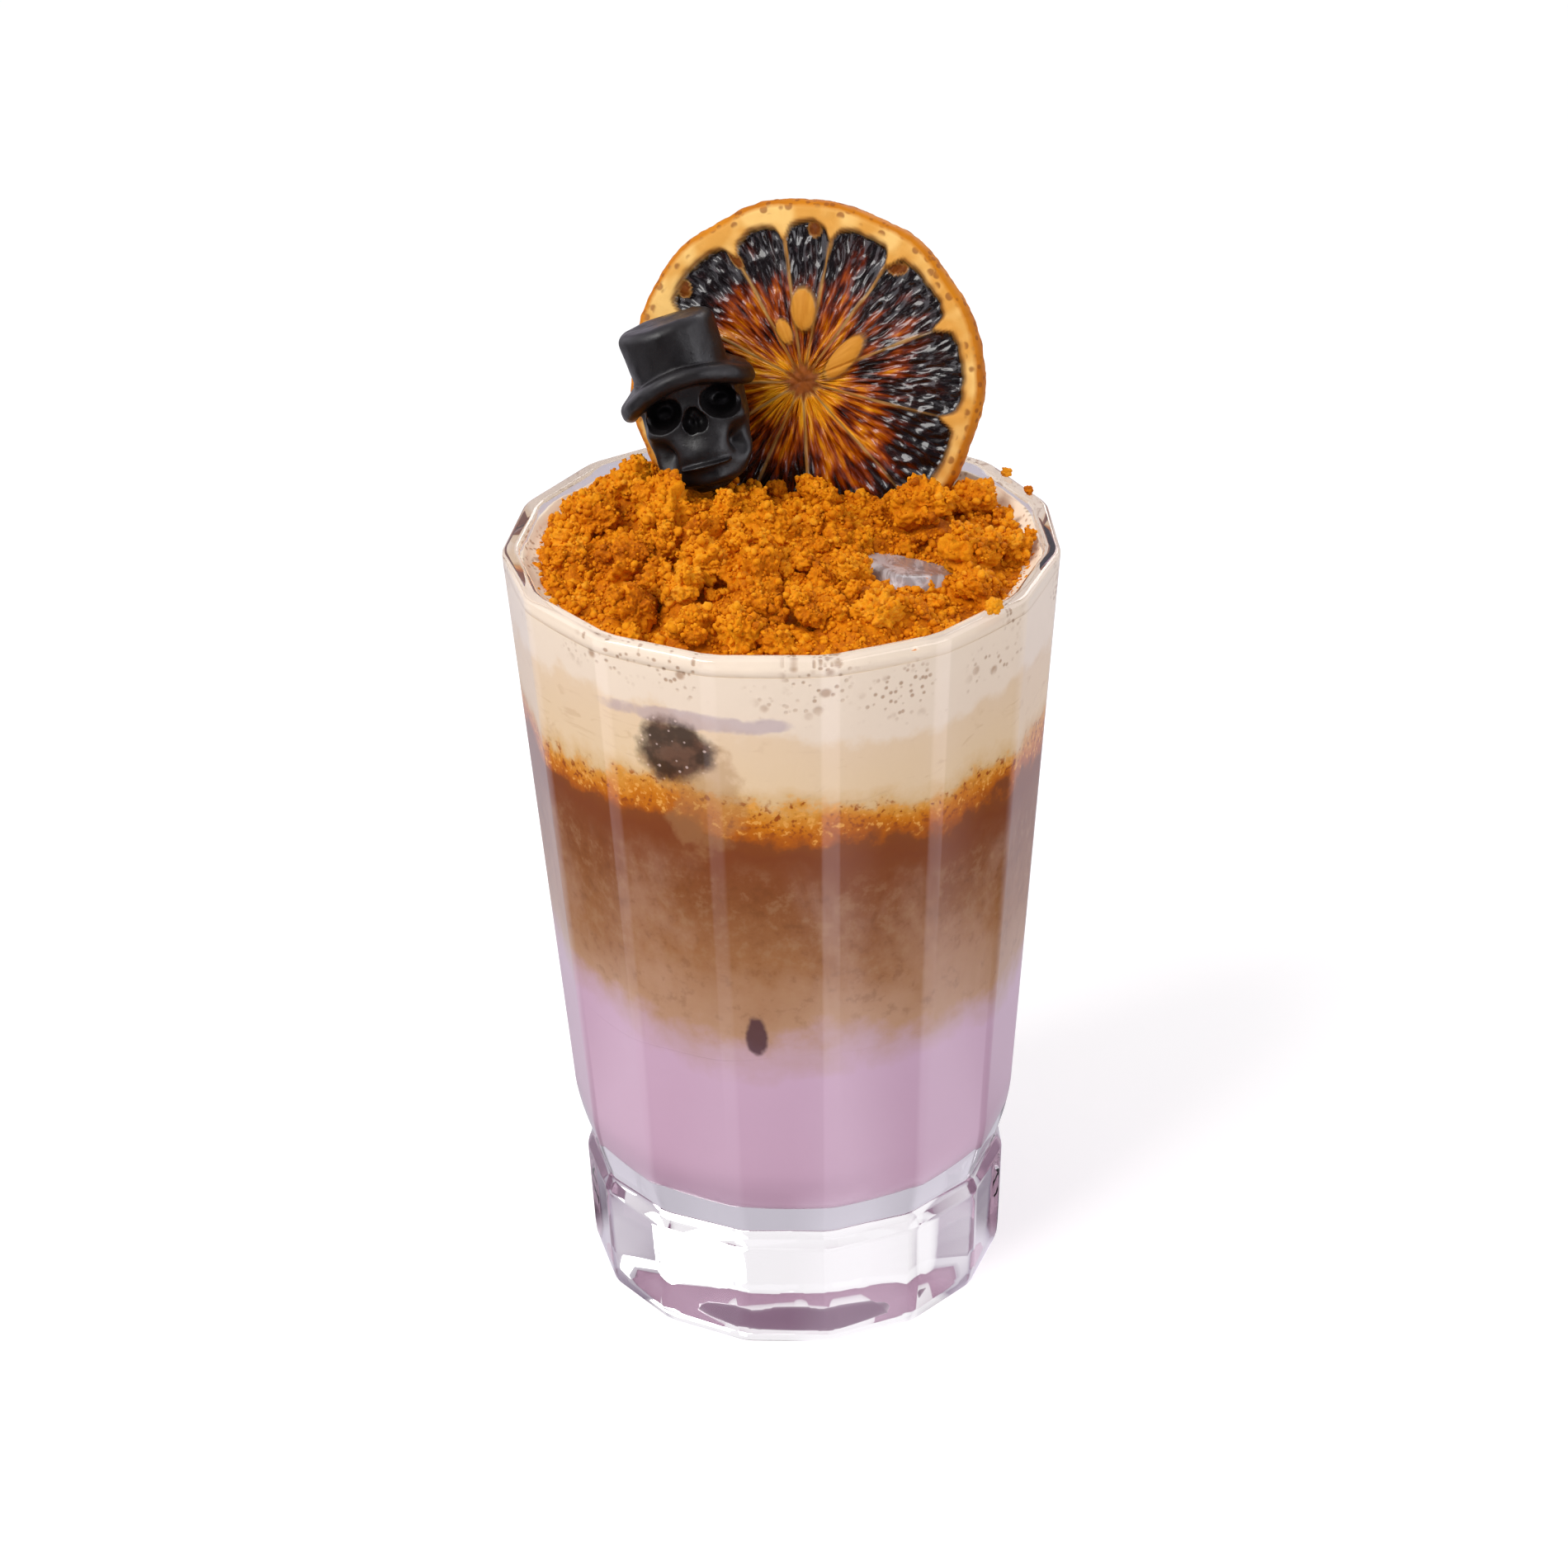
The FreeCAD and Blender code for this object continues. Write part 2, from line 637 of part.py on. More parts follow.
# ---- assembly ---------------------------------------------------------------------------------
def build():
    nodes = {"tumbler": tumbler()}
    layers = drink_layers()
    slice_space = placed(slice_disc(), slice_placement())
    cube = ice_cube()
    head = skull()
    heap = crumb_heap().cut([slice_space, cube, head])
    layers["foam"] = layers["foam"].cut([slice_space, cube])
    layers["cream"] = layers["cream"].cut([slice_space, cube])
    nodes.update(layers)
    nodes["crumb_heap"] = heap
    nodes["ice_cube"] = cube
    nodes["orange_slice"] = orange_slice()
    nodes["skull"] = head
    return nodes


def main():
    os.makedirs("parts", exist_ok=True)
    for name, shape in build().items():
        solids = shape.Solids
        whole = solids[0] if len(solids) == 1 else Part.makeCompound(solids)
        whole.exportStep(os.path.join("parts", name + ".step"))
        print(
            name,
            "solids", len(solids),
            "faces", len(shape.Faces),
            "volume", round(shape.Volume / 1000, 2), "cm3",
            "valid", shape.isValid(),
        )


main()
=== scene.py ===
# %% [markdown]
# # A layered cookie cream drink in a faceted tumbler
#
# The drink is built round a frame of solids that another program made to size. This lesson gives each
# solid its looks: clear glass, milk and coffee that reach the wall, real biscuit crumbs on the foam, a
# dried orange slice and a small moulded skull in a top hat. Everything is in metres, +Z is up, and -Y is
# the front.

import random
from math import atan2, copysign, cos, degrees, exp, hypot, pi, radians, sin, sqrt, tan

import bmesh
import bpy
import numpy as np
from mathutils import Matrix, Vector, noise
from mathutils.bvhtree import BVHTree


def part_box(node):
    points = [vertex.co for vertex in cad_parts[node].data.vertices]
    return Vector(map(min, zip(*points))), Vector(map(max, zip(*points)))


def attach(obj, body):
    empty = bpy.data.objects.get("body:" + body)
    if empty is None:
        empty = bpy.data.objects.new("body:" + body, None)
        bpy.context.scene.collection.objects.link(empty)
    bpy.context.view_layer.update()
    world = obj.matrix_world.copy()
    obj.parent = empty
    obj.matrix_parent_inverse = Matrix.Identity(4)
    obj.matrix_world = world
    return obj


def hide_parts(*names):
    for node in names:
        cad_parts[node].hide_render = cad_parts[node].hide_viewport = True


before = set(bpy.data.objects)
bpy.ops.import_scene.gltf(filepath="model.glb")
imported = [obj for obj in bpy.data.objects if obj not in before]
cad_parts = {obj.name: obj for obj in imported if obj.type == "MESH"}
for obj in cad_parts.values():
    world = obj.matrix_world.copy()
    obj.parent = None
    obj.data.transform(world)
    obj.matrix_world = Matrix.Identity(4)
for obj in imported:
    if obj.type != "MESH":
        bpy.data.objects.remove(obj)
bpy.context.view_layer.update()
MM = 0.001
SAME_PLACE = 1e-6  # points closer than this are one
print("nodes:", sorted(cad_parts))

# %% [markdown]
# ## Sizes read from the frame
#
# A drinking glass has few sizes that matter: its height, the level of the foam and the width of the
# inside. Reading them from the solids means that nothing has to be fitted by eye.

# %% Sizes
def middle_of(node):
    """The middle of a solid's box."""
    low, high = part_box(node)
    return (low + high) / 2


foam_low, foam_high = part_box("foam")
RIM_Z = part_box("tumbler")[1].z
FOAM_Z = foam_high.z
INSIDE_AT_FOAM = (foam_high.x - foam_low.x) / 2
for name, size in (("rim", RIM_Z), ("foam", FOAM_Z), ("inside radius", INSIDE_AT_FOAM)):
    print(name, round(size / MM, 1), "mm")

# %% [markdown]
# ## A clean start for every operator
#
# Blender's operators act on all that is selected, and the loaded solids are selected. These helpers
# deselect everything, pick one object, and run edit-mode work on faces chosen in code.

# %% Selection helpers
def pick(thing):
    """Leaves only this object selected and active."""
    if bpy.context.object and bpy.context.object.mode != "OBJECT":
        bpy.ops.object.mode_set(mode="OBJECT")
    bpy.ops.object.select_all(action="DESELECT")
    thing.select_set(True)
    bpy.context.view_layer.objects.active = thing
    return thing


def edit(thing, choose="DESELECT"):
    """Opens an object for editing, with nothing selected or with everything."""
    pick(thing)
    bpy.ops.object.mode_set(mode="EDIT")
    bpy.ops.mesh.select_mode(type="VERT")
    bpy.ops.mesh.select_all(action=choose)


def done():
    bpy.ops.object.mode_set(mode="OBJECT")


def new_piece(name):
    """Names the object that an operator has just added, and its mesh."""
    thing = bpy.context.object
    thing.name = name
    thing.data.name = name
    return thing


def in_scene(name, data):
    """A new object round this mesh, lamp or camera."""
    thing = bpy.data.objects.new(name, data)
    bpy.context.scene.collection.objects.link(thing)
    return thing


def settle(thing):
    """Puts the object's place, turn and size into its mesh."""
    pick(thing)
    bpy.ops.object.transform_apply(location=True, rotation=True, scale=True)
    return thing


def apply_all(thing):
    """Applies every modifier, from the top of the stack down."""
    pick(thing)
    for modifier in list(thing.modifiers):
        bpy.ops.object.modifier_apply(modifier=modifier.name)
    return thing


def outward(thing):
    """Merges doubles and points every face outwards."""
    edit(thing, "SELECT")
    bpy.ops.mesh.remove_doubles(threshold=SAME_PLACE)
    bpy.ops.mesh.normals_make_consistent(inside=False)
    done()
    return thing


def smooth(thing, angle=None):
    pick(thing)
    if angle is None:
        bpy.ops.object.shade_smooth()
    else:
        bpy.ops.object.shade_smooth_by_angle(angle=radians(angle))
    return thing


def copy_of(node, name):
    """A copy of a CAD solid with its own mesh, its doubles merged, ready to be worked on."""
    thing = in_scene(name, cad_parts[node].data.copy())
    thing.data.name = name
    thing.data.materials.clear()
    pick(thing)
    if thing.data.has_custom_normals:
        bpy.ops.mesh.customdata_custom_splitnormals_clear()
    edit(thing, "SELECT")
    bpy.ops.mesh.remove_doubles(threshold=SAME_PLACE)
    done()
    return thing


def report(thing):
    triangles = sum(len(face.vertices) - 2 for face in thing.data.polygons)
    print(thing.name, len(thing.data.vertices), "points", triangles, "triangles")


def finish_piece(thing, slot, material, *nodes):
    """Dresses a piece, lets it ride with the drink and hides the solids it stands for."""
    thing.data.materials.clear()
    thing.data.materials.append(material)
    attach(thing, "root")
    if nodes:
        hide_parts(*nodes)
    report(thing)

# %% [markdown]
# ## Wiring materials in code
#
# A node material is a small network. These helpers add a node, set its sockets and link them, so that
# each material below reads as a short recipe. Colours are written as on a screen and changed to the
# linear values that the shader wants.

# %% Material helpers
def screen(hex_colour):
    """A linear colour from the six figures of a screen colour."""
    parts = [int(hex_colour[i : i + 2], 16) / 255 for i in (0, 2, 4)]
    linear = [c / 12.92 if c <= 0.04045 else ((c + 0.055) / 1.055) ** 2.4 for c in parts]
    return (*linear, 1.0)


class Recipe:
    """The node tree of a material or a world, with short calls for adding and linking nodes."""

    def __init__(self, name, shelf="materials", output="ShaderNodeOutputMaterial"):
        self.material = getattr(bpy.data, shelf).new(name)
        self.material.use_nodes = True
        self.tree = self.material.node_tree
        self.tree.nodes.clear()
        self.out = self.add(output)

    def add(self, kind, links=None, **values):
        node = self.tree.nodes.new(kind)
        for key, value in values.items():
            setattr(node, key, value)
        for socket, source in (links or {}).items():
            self.feed(node, socket, source)
        return node

    def feed(self, node, socket, source):
        """Links a socket to another node's, or gives it a value or a screen colour."""
        target = node.inputs[socket]
        if isinstance(source, bpy.types.NodeSocket):
            self.tree.links.new(source, target)
        else:
            target.default_value = screen(source) if isinstance(source, str) else source

    def show(self, node):
        self.tree.links.new(node.outputs[0], self.out.inputs["Surface"])

    def object_place(self):
        return self.add("ShaderNodeTexCoord").outputs["Object"]

    def rays(self):
        return self.add("ShaderNodeLightPath").outputs

    def split(self, place):
        return self.add("ShaderNodeSeparateXYZ", {"Vector": place}).outputs

    def azimuth(self, parts):
        """The turn about the upright axis, nought in front and growing to the right."""
        return self.maths("ARCTAN2", parts["X"], self.times(parts["Y"], -1.0))

    def stretched(self, place, scale, turn=(0.0, 0.0, 0.0)):
        links = {"Vector": place, "Rotation": turn, "Scale": scale}
        return self.add("ShaderNodeMapping", links).outputs["Vector"]

    def noise(self, place, scale, detail=4.0, rough=0.55, distortion=0.0):
        links = {"Vector": place, "Scale": scale, "Detail": detail, "Roughness": rough}
        return self.add("ShaderNodeTexNoise", links | {"Distortion": distortion}).outputs["Fac"]

    def cells(self, place, scale):
        return self.add("ShaderNodeTexVoronoi", {"Vector": place, "Scale": scale}).outputs["Distance"]

    def maths(self, operation, first, second=0.0, third=None, clamp=False):
        node = self.add("ShaderNodeMath", {0: first, 1: second}, operation=operation, use_clamp=clamp)
        if third is not None:
            self.feed(node, 2, third)
        return node.outputs[0]

    def times(self, product, *values):
        """The product of all these."""
        for value in values:
            product = self.maths("MULTIPLY", product, value)
        return product

    def times_plus(self, first, second, third):
        """The product of the first two, and the third added to it."""
        return self.maths("MULTIPLY_ADD", first, second, third)

    def span(self, value, low, high, to_low=0.0, to_high=1.0, soft=True):
        """Maps a stretch of values onto another, clamped, with soft ends unless told otherwise."""
        links = {"Value": value, "From Min": low, "From Max": high, "To Min": to_low, "To Max": to_high}
        kind = "SMOOTHSTEP" if soft else "LINEAR"
        return self.add("ShaderNodeMapRange", links, interpolation_type=kind, clamp=True).outputs["Result"]

    def between(self, value, low, full, full_end, end):
        """One inside a stretch of values, nought outside it, with soft ends."""
        return self.times(self.span(value, low, full), self.span(value, end, full_end))

    def mix(self, share, first, second):
        links = {0: share, 6: first, 7: second}
        return self.add("ShaderNodeMix", links, data_type="RGBA", clamp_factor=True).outputs[2]

    def ramp(self, value, stops):
        """A colour ramp from pairs of place and screen colour."""
        node = self.add("ShaderNodeValToRGB", {"Fac": value})
        elements = node.color_ramp.elements
        elements.remove(elements[1])
        elements[0].position = stops[0][0]
        elements[0].color = screen(stops[0][1])
        for place, colour in stops[1:]:
            elements.new(place).color = screen(colour)
        return node.outputs["Color"]

    def bump(self, height, strength, distance):
        links = {"Height": height, "Strength": strength, "Distance": distance}
        return self.add("ShaderNodeBump", links).outputs["Normal"]

    def attribute(self, name):
        return self.add("ShaderNodeAttribute", attribute_name=name).outputs

    def surface(self, **sockets):
        """The Principled shader, with each socket named by its words joined by low lines."""
        links = {key.replace("_", " "): value for key, value in sockets.items()}
        node = self.add("ShaderNodeBsdfPrincipled", links)
        self.show(node)
        return node

# %% [markdown]
# ## Shared effects as node groups
#
# All the layers of the drink share one effect: how the colour changes with the height, from lilac milk
# over coffee that runs into it and a band of soaked crumbs to coffee cream and foam. A node group holds
# it once, with named inputs and outputs, and puts out only a colour and a value.

# %% A group of nodes that is built once
class Group(Recipe):
    """The same short calls as a material's recipe, for a node group."""

    def __init__(self, name, inputs, outputs):
        self.tree = bpy.data.node_groups.new(name, "ShaderNodeTree")
        kinds = {"value": "NodeSocketFloat", "colour": "NodeSocketColor", "vector": "NodeSocketVector"}
        for way, sockets in (("INPUT", inputs), ("OUTPUT", outputs)):
            for label, kind in sockets.items():
                self.tree.interface.new_socket(name=label, in_out=way, socket_type=kinds[kind])
        self.given = self.add("NodeGroupInput").outputs
        self.result = self.add("NodeGroupOutput")

# %% The drink's colour by height
LAYER_STOPS = (
    (0.000, "C9A6BC"),
    (0.300, "CBA9BF"),
    (0.345, "C2A0A4"),
    (0.385, "B58C6C"),
    (0.480, "9C6A42"),
    (0.600, "864F28"),
    (0.700, "7E401C"),
    (0.722, "82441A"),
    (0.736, "B05A06"),
    (0.756, "CC7608"),
    (0.776, "D69438"),
    (0.792, "DCBA88"),
    (0.820, "E6CCA6"),
    (0.892, "E6CDAC"),
    (0.912, "EDDCC6"),
    (1.000, "F0E0CA"),
)
LAYER_FLOOR = 24.0 * MM
LAYER_TILT = 0.75  # share of the depth for each metre to the right
SWIRL_LIFT = 0.035  # how far slow swirls lift a level, as a share of the depth
FRAY_LIFT = 0.014

drink_colour = Group("drink colour", {"Place": "vector"}, {"Colour": "colour", "Height": "value"})
g = drink_colour
place = g.given["Place"]
along = g.split(place)
height = along["Z"]
# Slow swirls lift and drop the levels, finer ones fray them, and all of them lie a little askew.
swirl = g.noise(place, 38.0, detail=2.0, distortion=0.4)
fray = g.noise(place, 240.0, detail=5.0, rough=0.6)
shift = g.span(swirl, 0.25, 0.75, -SWIRL_LIFT, SWIRL_LIFT, soft=False)
shift = g.maths("ADD", shift, g.span(fray, 0.3, 0.7, -FRAY_LIFT, FRAY_LIFT, soft=False))
level = g.maths("ADD", g.span(height, LAYER_FLOOR, FOAM_Z, soft=False), shift)
level = g.times_plus(along["X"], LAYER_TILT, level)
layers = g.ramp(level, LAYER_STOPS)
# Milk hangs in the coffee as pale upright veils.
veil = g.noise(g.stretched(place, (1.0, 1.0, 0.45)), 70.0, detail=5.0, rough=0.6, distortion=0.6)
in_coffee = g.between(level, 0.34, 0.42, 0.62, 0.70)
layers = g.mix(g.times(g.span(veil, 0.42, 0.70), in_coffee, 0.28), layers, "C9A58E")
# Drops of milk and fine coffee grounds mottle it.
mottle = g.noise(place, 420.0, detail=5.0, rough=0.65)
layers = g.mix(g.times(g.span(mottle, 0.48, 0.68), in_coffee, 0.30), layers, "B08A66")
layers = g.mix(g.times(g.span(mottle, 0.48, 0.32), in_coffee, 0.25), layers, "5E3210")
# Soaked crumbs are grainy, dark and light.
grain = g.noise(place, 900.0, detail=2.0)
in_band = g.between(level, 0.725, 0.745, 0.775, 0.80)
layers = g.mix(g.times(g.span(grain, 0.55, 0.68), in_band), layers, "9C4C08")
layers = g.mix(g.times(g.span(grain, 0.45, 0.33), in_band), layers, "E2A048")
# Cream has brown streaks that lie level.
streak = g.noise(g.stretched(place, (1.0, 1.0, 3.0)), 130.0, detail=4.0, distortion=1.2)
in_cream = g.between(level, 0.78, 0.81, 0.86, 0.91)
layers = g.mix(g.times(g.span(streak, 0.56, 0.70), in_cream, 0.25), layers, "B98E62")
# The foam has brown pin holes near its top, in patches: cells to the metre, half width, patchiness.
near_top = g.span(level, 0.925, 0.960)
holes = 0.0
for cells, wide, low, high in ((330.0, 0.34, 0.44, 0.54), (850.0, 0.38, 0.42, 0.56)):
    hole = g.span(g.cells(place, cells), wide, 0.4 * wide)
    patchy = g.span(g.noise(place, 75.0, detail=1.0), low, high)
    holes = g.maths("MAXIMUM", holes, g.times(hole, patchy, near_top))
layers = g.mix(g.times(holes, 0.62), layers, "966840")
# Where the floor of the cavity rounds off, the milk is painted darker: painted shade on its underside.
layers = g.mix(g.span(height, 26.4 * MM, 24.8 * MM, 0.0, 0.8), layers, "9A7A92")
print("the drink is painted from", LAYER_FLOOR / MM, "to", round(FOAM_Z / MM, 1), "mm")

# %% [markdown]
# Two pieces of ice have sunk and show dimly through the wall, with a drip of coffee and a grey band of
# painted shade by the larger one. The drink isn't clear enough to model them in it, so they are painted as
# soft, frayed ovals where they touch the wall.

# %% Ice inside the drink
turned = g.azimuth(along)
ragged = g.noise(place, 170.0, detail=4.0, rough=0.6)
murk = g.mix(g.span(g.noise(place, 260.0, detail=3.0), 0.42, 0.62), "2E1812", "5E3E30")
murk = g.mix(g.span(g.cells(place, 700.0), 0.22, 0.10), murk, "BDA69E")
# Turn and half width in degrees, height and half height in millimetres, raggedness, share and colour.
SUNK = (
    (-19, 9, 104.0, 9.0, 4.0, 0.45, "A97C50"),  # drip
    # The veil row below is painted shade: a soft grey band at the top of the cube.
    (-20, 21, 117.2, 1.5, 3.0, 0.5, "A592A6"),  # veil
    (-25, 9, 111.6, 5.6, 2.0, 0.93, murk),  # cube
    (-9, 2.8, 61.0, 3.6, 2.6, 0.9, "4E3038"),  # tip of the lower piece
)
for at_turn, wide, at_z, high, frayed, share, colour in SUNK:
    aside = g.maths("DIVIDE", g.maths("SUBTRACT", turned, radians(at_turn)), radians(wide))
    above = g.maths("DIVIDE", g.maths("SUBTRACT", height, at_z * MM), high * MM)
    off = g.times_plus(above, above, g.times(aside, aside))
    off = g.times_plus(ragged, frayed, g.maths("SUBTRACT", off, 0.5 * frayed))
    layers = g.mix(g.times(g.span(off, 1.4, 0.6), share), layers, colour)
g.feed(g.result, "Colour", layers)
g.feed(g.result, "Height", g.maths("SUBTRACT", fray, holes))
print("drink colour group has", len(g.tree.nodes), "nodes")

# %% [markdown]
# ## Camera
#
# A long lens from a little above, as a drink is usually seen on a table. The camera is turned a touch
# about its own axis, so the glass leans very slightly.

# %% Camera
CAMERA_LENS = 87.1
CAMERA_DISTANCE = 605.0 * MM
CAMERA_RISE = radians(28.63)
CAMERA_ROLL = radians(-1.34)
CAMERA_AIM = Vector((-0.5, 0.0, 85.5)) * MM

camera = in_scene("camera", bpy.data.cameras.new("camera"))
camera.data.lens = CAMERA_LENS
back = Vector((0, -cos(CAMERA_RISE), sin(CAMERA_RISE)))
camera.location = CAMERA_AIM + back * CAMERA_DISTANCE
aim = (-back).to_track_quat("-Z", "Y").to_matrix() @ Matrix.Rotation(CAMERA_ROLL, 3, "Z")
camera.rotation_euler = aim.to_euler()
bpy.context.scene.camera = camera
bpy.context.scene.view_settings.view_transform = "Standard"
print("camera at", [round(c, 3) for c in camera.location])

# %% [markdown]
# ## Floor, sky and lamps
#
# Glass shows what stands round it, so its room matters as much as its shape. The camera sees a white
# floor and a white sky. Reflections see a dim room instead, with bright strips on the floor, a window on
# each side, soft light overhead and a bright wall behind, so dark things stay dark and the panels get
# their edges. The light that falls on the drink stays at a plain level, and the floor keeps its shadow.

# %% Floor
FLOOR_SIZE = 3.0
FLOOR_GAP = 0.05 * MM  # keeps the floor clear of the foot
FLOOR_GLOW = 0.34  # what the floor adds, for the camera alone, to the light of the lamps
FLOOR_LIT = 0.26  # how far out the lamps light it
BRIGHT_BEHIND = 0.60  # how bright reflections find the floor behind the drink
LEAST_THROUGH = 0.36  # how bright light that passes the glass finds it at least
# Strips for reflections: turn and half width in degrees, brightness.
STRIPS = ((18, 17, 1.7), (66, 16, 1.3), (-31, 13, 0.8), (-78, 14, 0.9))
STRIP_SOFT = 6

bpy.ops.object.select_all(action="DESELECT")
bpy.ops.mesh.primitive_plane_add(size=FLOOR_SIZE, location=(0, 0, -FLOOR_GAP))
floor = new_piece("floor")
f = Recipe("floor")
rays = f.rays()
# Reflections on the upright panels look down at the floor, so the floor holds their bright strips.
azimuth = f.azimuth(f.split(f.object_place()))
strips = f.span(f.maths("ABSOLUTE", azimuth), radians(95), radians(120), 0.03, BRIGHT_BEHIND)
for middle, half, bright in STRIPS:
    off = f.maths("ABSOLUTE", f.maths("SUBTRACT", azimuth, radians(middle)))
    off = f.span(off, radians(half + STRIP_SOFT), radians(half - STRIP_SOFT), 0.0, bright)
    strips = f.maths("MAXIMUM", strips, off)
# Far from the drink, where no lamp reaches, the floor turns as white as the sky.
distance = f.add("ShaderNodeVectorMath", {0: f.object_place()}, operation="LENGTH").outputs["Value"]
far = f.span(distance, FLOOR_LIT, 2 * FLOOR_LIT)
direct, passed = rays["Is Camera Ray"], rays["Is Transmission Ray"]
mirrored = f.maths("SUBTRACT", rays["Is Glossy Ray"], passed, clamp=True)
glow = f.times(direct, f.span(far, 0.0, 1.0, FLOOR_GLOW, 1.0, soft=False))
glow = f.times_plus(mirrored, strips, glow)
glow = f.times_plus(passed, f.maths("MAXIMUM", strips, LEAST_THROUGH), glow)
dimmed = f.maths("MAXIMUM", rays["Is Glossy Ray"], f.times(far, direct))
f.surface(
    Base_Color=f.mix(dimmed, "EDEBEC", (0, 0, 0, 1)),
    Roughness=0.9,
    Specular_IOR_Level=0.1,
    Emission_Color=f.mix(rays["Is Glossy Ray"], (1, 1, 1, 1), (0.94, 0.90, 1.0, 1)),
    Emission_Strength=glow,
)
floor.data.materials.append(f.material)
print("floor with", len(STRIPS), "strips of light for reflections")

# %% Sky
w = Recipe("sky", "worlds", "ShaderNodeOutputWorld")
bpy.context.scene.world = w.material
rays = w.rays()
toward = w.split(w.add("ShaderNodeTexCoord").outputs["Generated"])
sideways = w.maths("ABSOLUTE", toward["X"])
# The dim room that reflections see: the wall in front and behind, the windows and the light overhead.
mirrored = w.mix(w.span(toward["Y"], 0.0, 0.3), "5A545E", (0.66, 0.60, 0.70, 1))
window = w.times(w.span(sideways, 0.55, 0.66), w.span(toward["Z"], -0.1, 0.15))
window = w.maths("MAXIMUM", window, w.span(toward["Z"], 0.70, 0.85, 0.0, 0.5))
mirrored = w.mix(window, mirrored, (1.7, 1.65, 1.8, 1))
# Light that comes through the glass is white, and a little lilac and darker from the flanks.
through = w.mix(w.span(sideways, 0.35, 0.80), (1, 1, 1, 1), "9C8EA2")
sky = w.mix(rays["Is Glossy Ray"], "BABABC", mirrored)
sky = w.mix(rays["Is Transmission Ray"], sky, through)
sky = w.mix(rays["Is Camera Ray"], sky, (1, 1, 1, 1))
w.show(w.add("ShaderNodeBackground", {"Color": sky, "Strength": 1.0}))
print("sky has", len(w.tree.nodes), "nodes")

# %% Lamps
def lamp(name, place, size, power, colour=(1, 1, 1)):
    """A square soft lamp that looks at the middle of the drink."""
    thing = in_scene(name, bpy.data.lights.new(name, "AREA"))
    thing.data.size = size
    thing.data.energy = power
    thing.data.color = colour
    thing.location = place
    thing.rotation_euler = (CAMERA_AIM - Vector(place)).to_track_quat("-Z", "Y").to_euler()
    print(name, "lamp of", power, "W")


lamp("key", (-0.45, -0.35, 0.75), 0.45, 5.6, (1.0, 0.985, 0.96))
lamp("fill", (0.70, -0.45, 0.40), 0.50, 1.7, (0.97, 0.97, 1.0))
lamp("rim", (0.35, 0.70, 0.55), 0.40, 2.2)

# %% [markdown]
# ## The tumbler
#
# A pressed tumbler has fifteen flat panels outside and a round wall inside, so its corners are thick and
# bend the light into soft upright streaks. Cutting it from a lathe shape would need a boolean, which
# leaves poor faces where light has to pass. Here one face does all the work instead: it is a
# fifteen-sided disc with rounded corners, and it is extruded up the outside, over the lip, made round,
# and pushed down the inside to the floor, all in one go. Only its corners are put on the round wall, so
# behind each panel the inside stays a little flat and up to 1.3 mm thicker. The drink hides that.

# %% Profile of the tumbler
PANELS = 15
PANEL_TURN = radians(8.8)
EDGE_ROUND = 6.0 * MM
EDGE_STEPS = 6
RIM_RADIUS = 43.3 * MM
BELLY_RADIUS = 36.5 * MM
BELLY_Z = 34.0 * MM
WAIST_RADIUS = 33.9 * MM
WAIST_Z = 21.8 * MM
BELLY_FULLNESS = 1.6
BELLY_STEPS = 9
WALL = 2.1 * MM
LIP_ROUND = 0.9 * MM
LIP_STEPS = 5
CAVITY_FLOOR = 24.6 * MM
FLOOR_ROUND = 11.0 * MM
FLOOR_STEPS = 8
# The foot's outside, and the hollow under it, as radius and height in millimetres.
FOOT = ((33.3, 0.0), (33.9, 0.6), (34.2, 1.8), (34.35, 3.8), (34.9, 18.6), (34.75, 19.4), (34.2, 20.6))
KICK = ((27.0, 0.0), (22.0, 0.45), (14.0, 0.9), (6.0, 1.15))


def taper(z):
    """Corner radius of the straight part of the body."""
    return BELLY_RADIUS + (z - BELLY_Z) / (RIM_Z - BELLY_Z) * (RIM_RADIUS - BELLY_RADIUS)


def inner(z):
    """Radius of the round inner wall."""
    return taper(z) * cos(pi / PANELS) - WALL


def quarter(steps):
    """The turns of a quarter circle, from nought to a right angle."""
    return [radians(90 * step / steps) for step in range(steps + 1)]


def outside_levels():
    """Radius and height of every outline, from the foot up to the top of the lip."""
    levels = [(radius * MM, z * MM) for radius, z in FOOT]
    for step in range(BELLY_STEPS):
        share = step / BELLY_STEPS
        swell = 1 - (1 - share) ** BELLY_FULLNESS
        radius = WAIST_RADIUS + (BELLY_RADIUS - WAIST_RADIUS) * swell
        levels.append((radius, WAIST_Z + (BELLY_Z - WAIST_Z) * share))
    levels.append((BELLY_RADIUS, BELLY_Z))
    for turn in quarter(LIP_STEPS):
        z = RIM_Z - LIP_ROUND * (1 - sin(turn))
        levels.append((taper(z) - LIP_ROUND * (1 - cos(turn)), z))
    return levels


def inside_levels():
    """The same down the inside, from the top of the lip to the floor of the cavity."""
    levels = []
    for turn in reversed(quarter(LIP_STEPS)):
        z = RIM_Z - LIP_ROUND * (1 - sin(turn))
        levels.append((inner(z) + LIP_ROUND * (1 - cos(turn)), z))
    low = inner(CAVITY_FLOOR)
    for turn in quarter(FLOOR_STEPS):
        z = CAVITY_FLOOR + FLOOR_ROUND * (1 - sin(turn))
        levels.append((min(inner(z), low - FLOOR_ROUND * (1 - cos(turn))), z))
    return levels


print("outside levels", len(outside_levels()), "inside levels", len(inside_levels()))


# %% Climbing with one face
def extrude(step):
    """Extrudes what is selected and moves it by a step."""
    bpy.ops.mesh.extrude_region_move(TRANSFORM_OT_translate={"value": step})


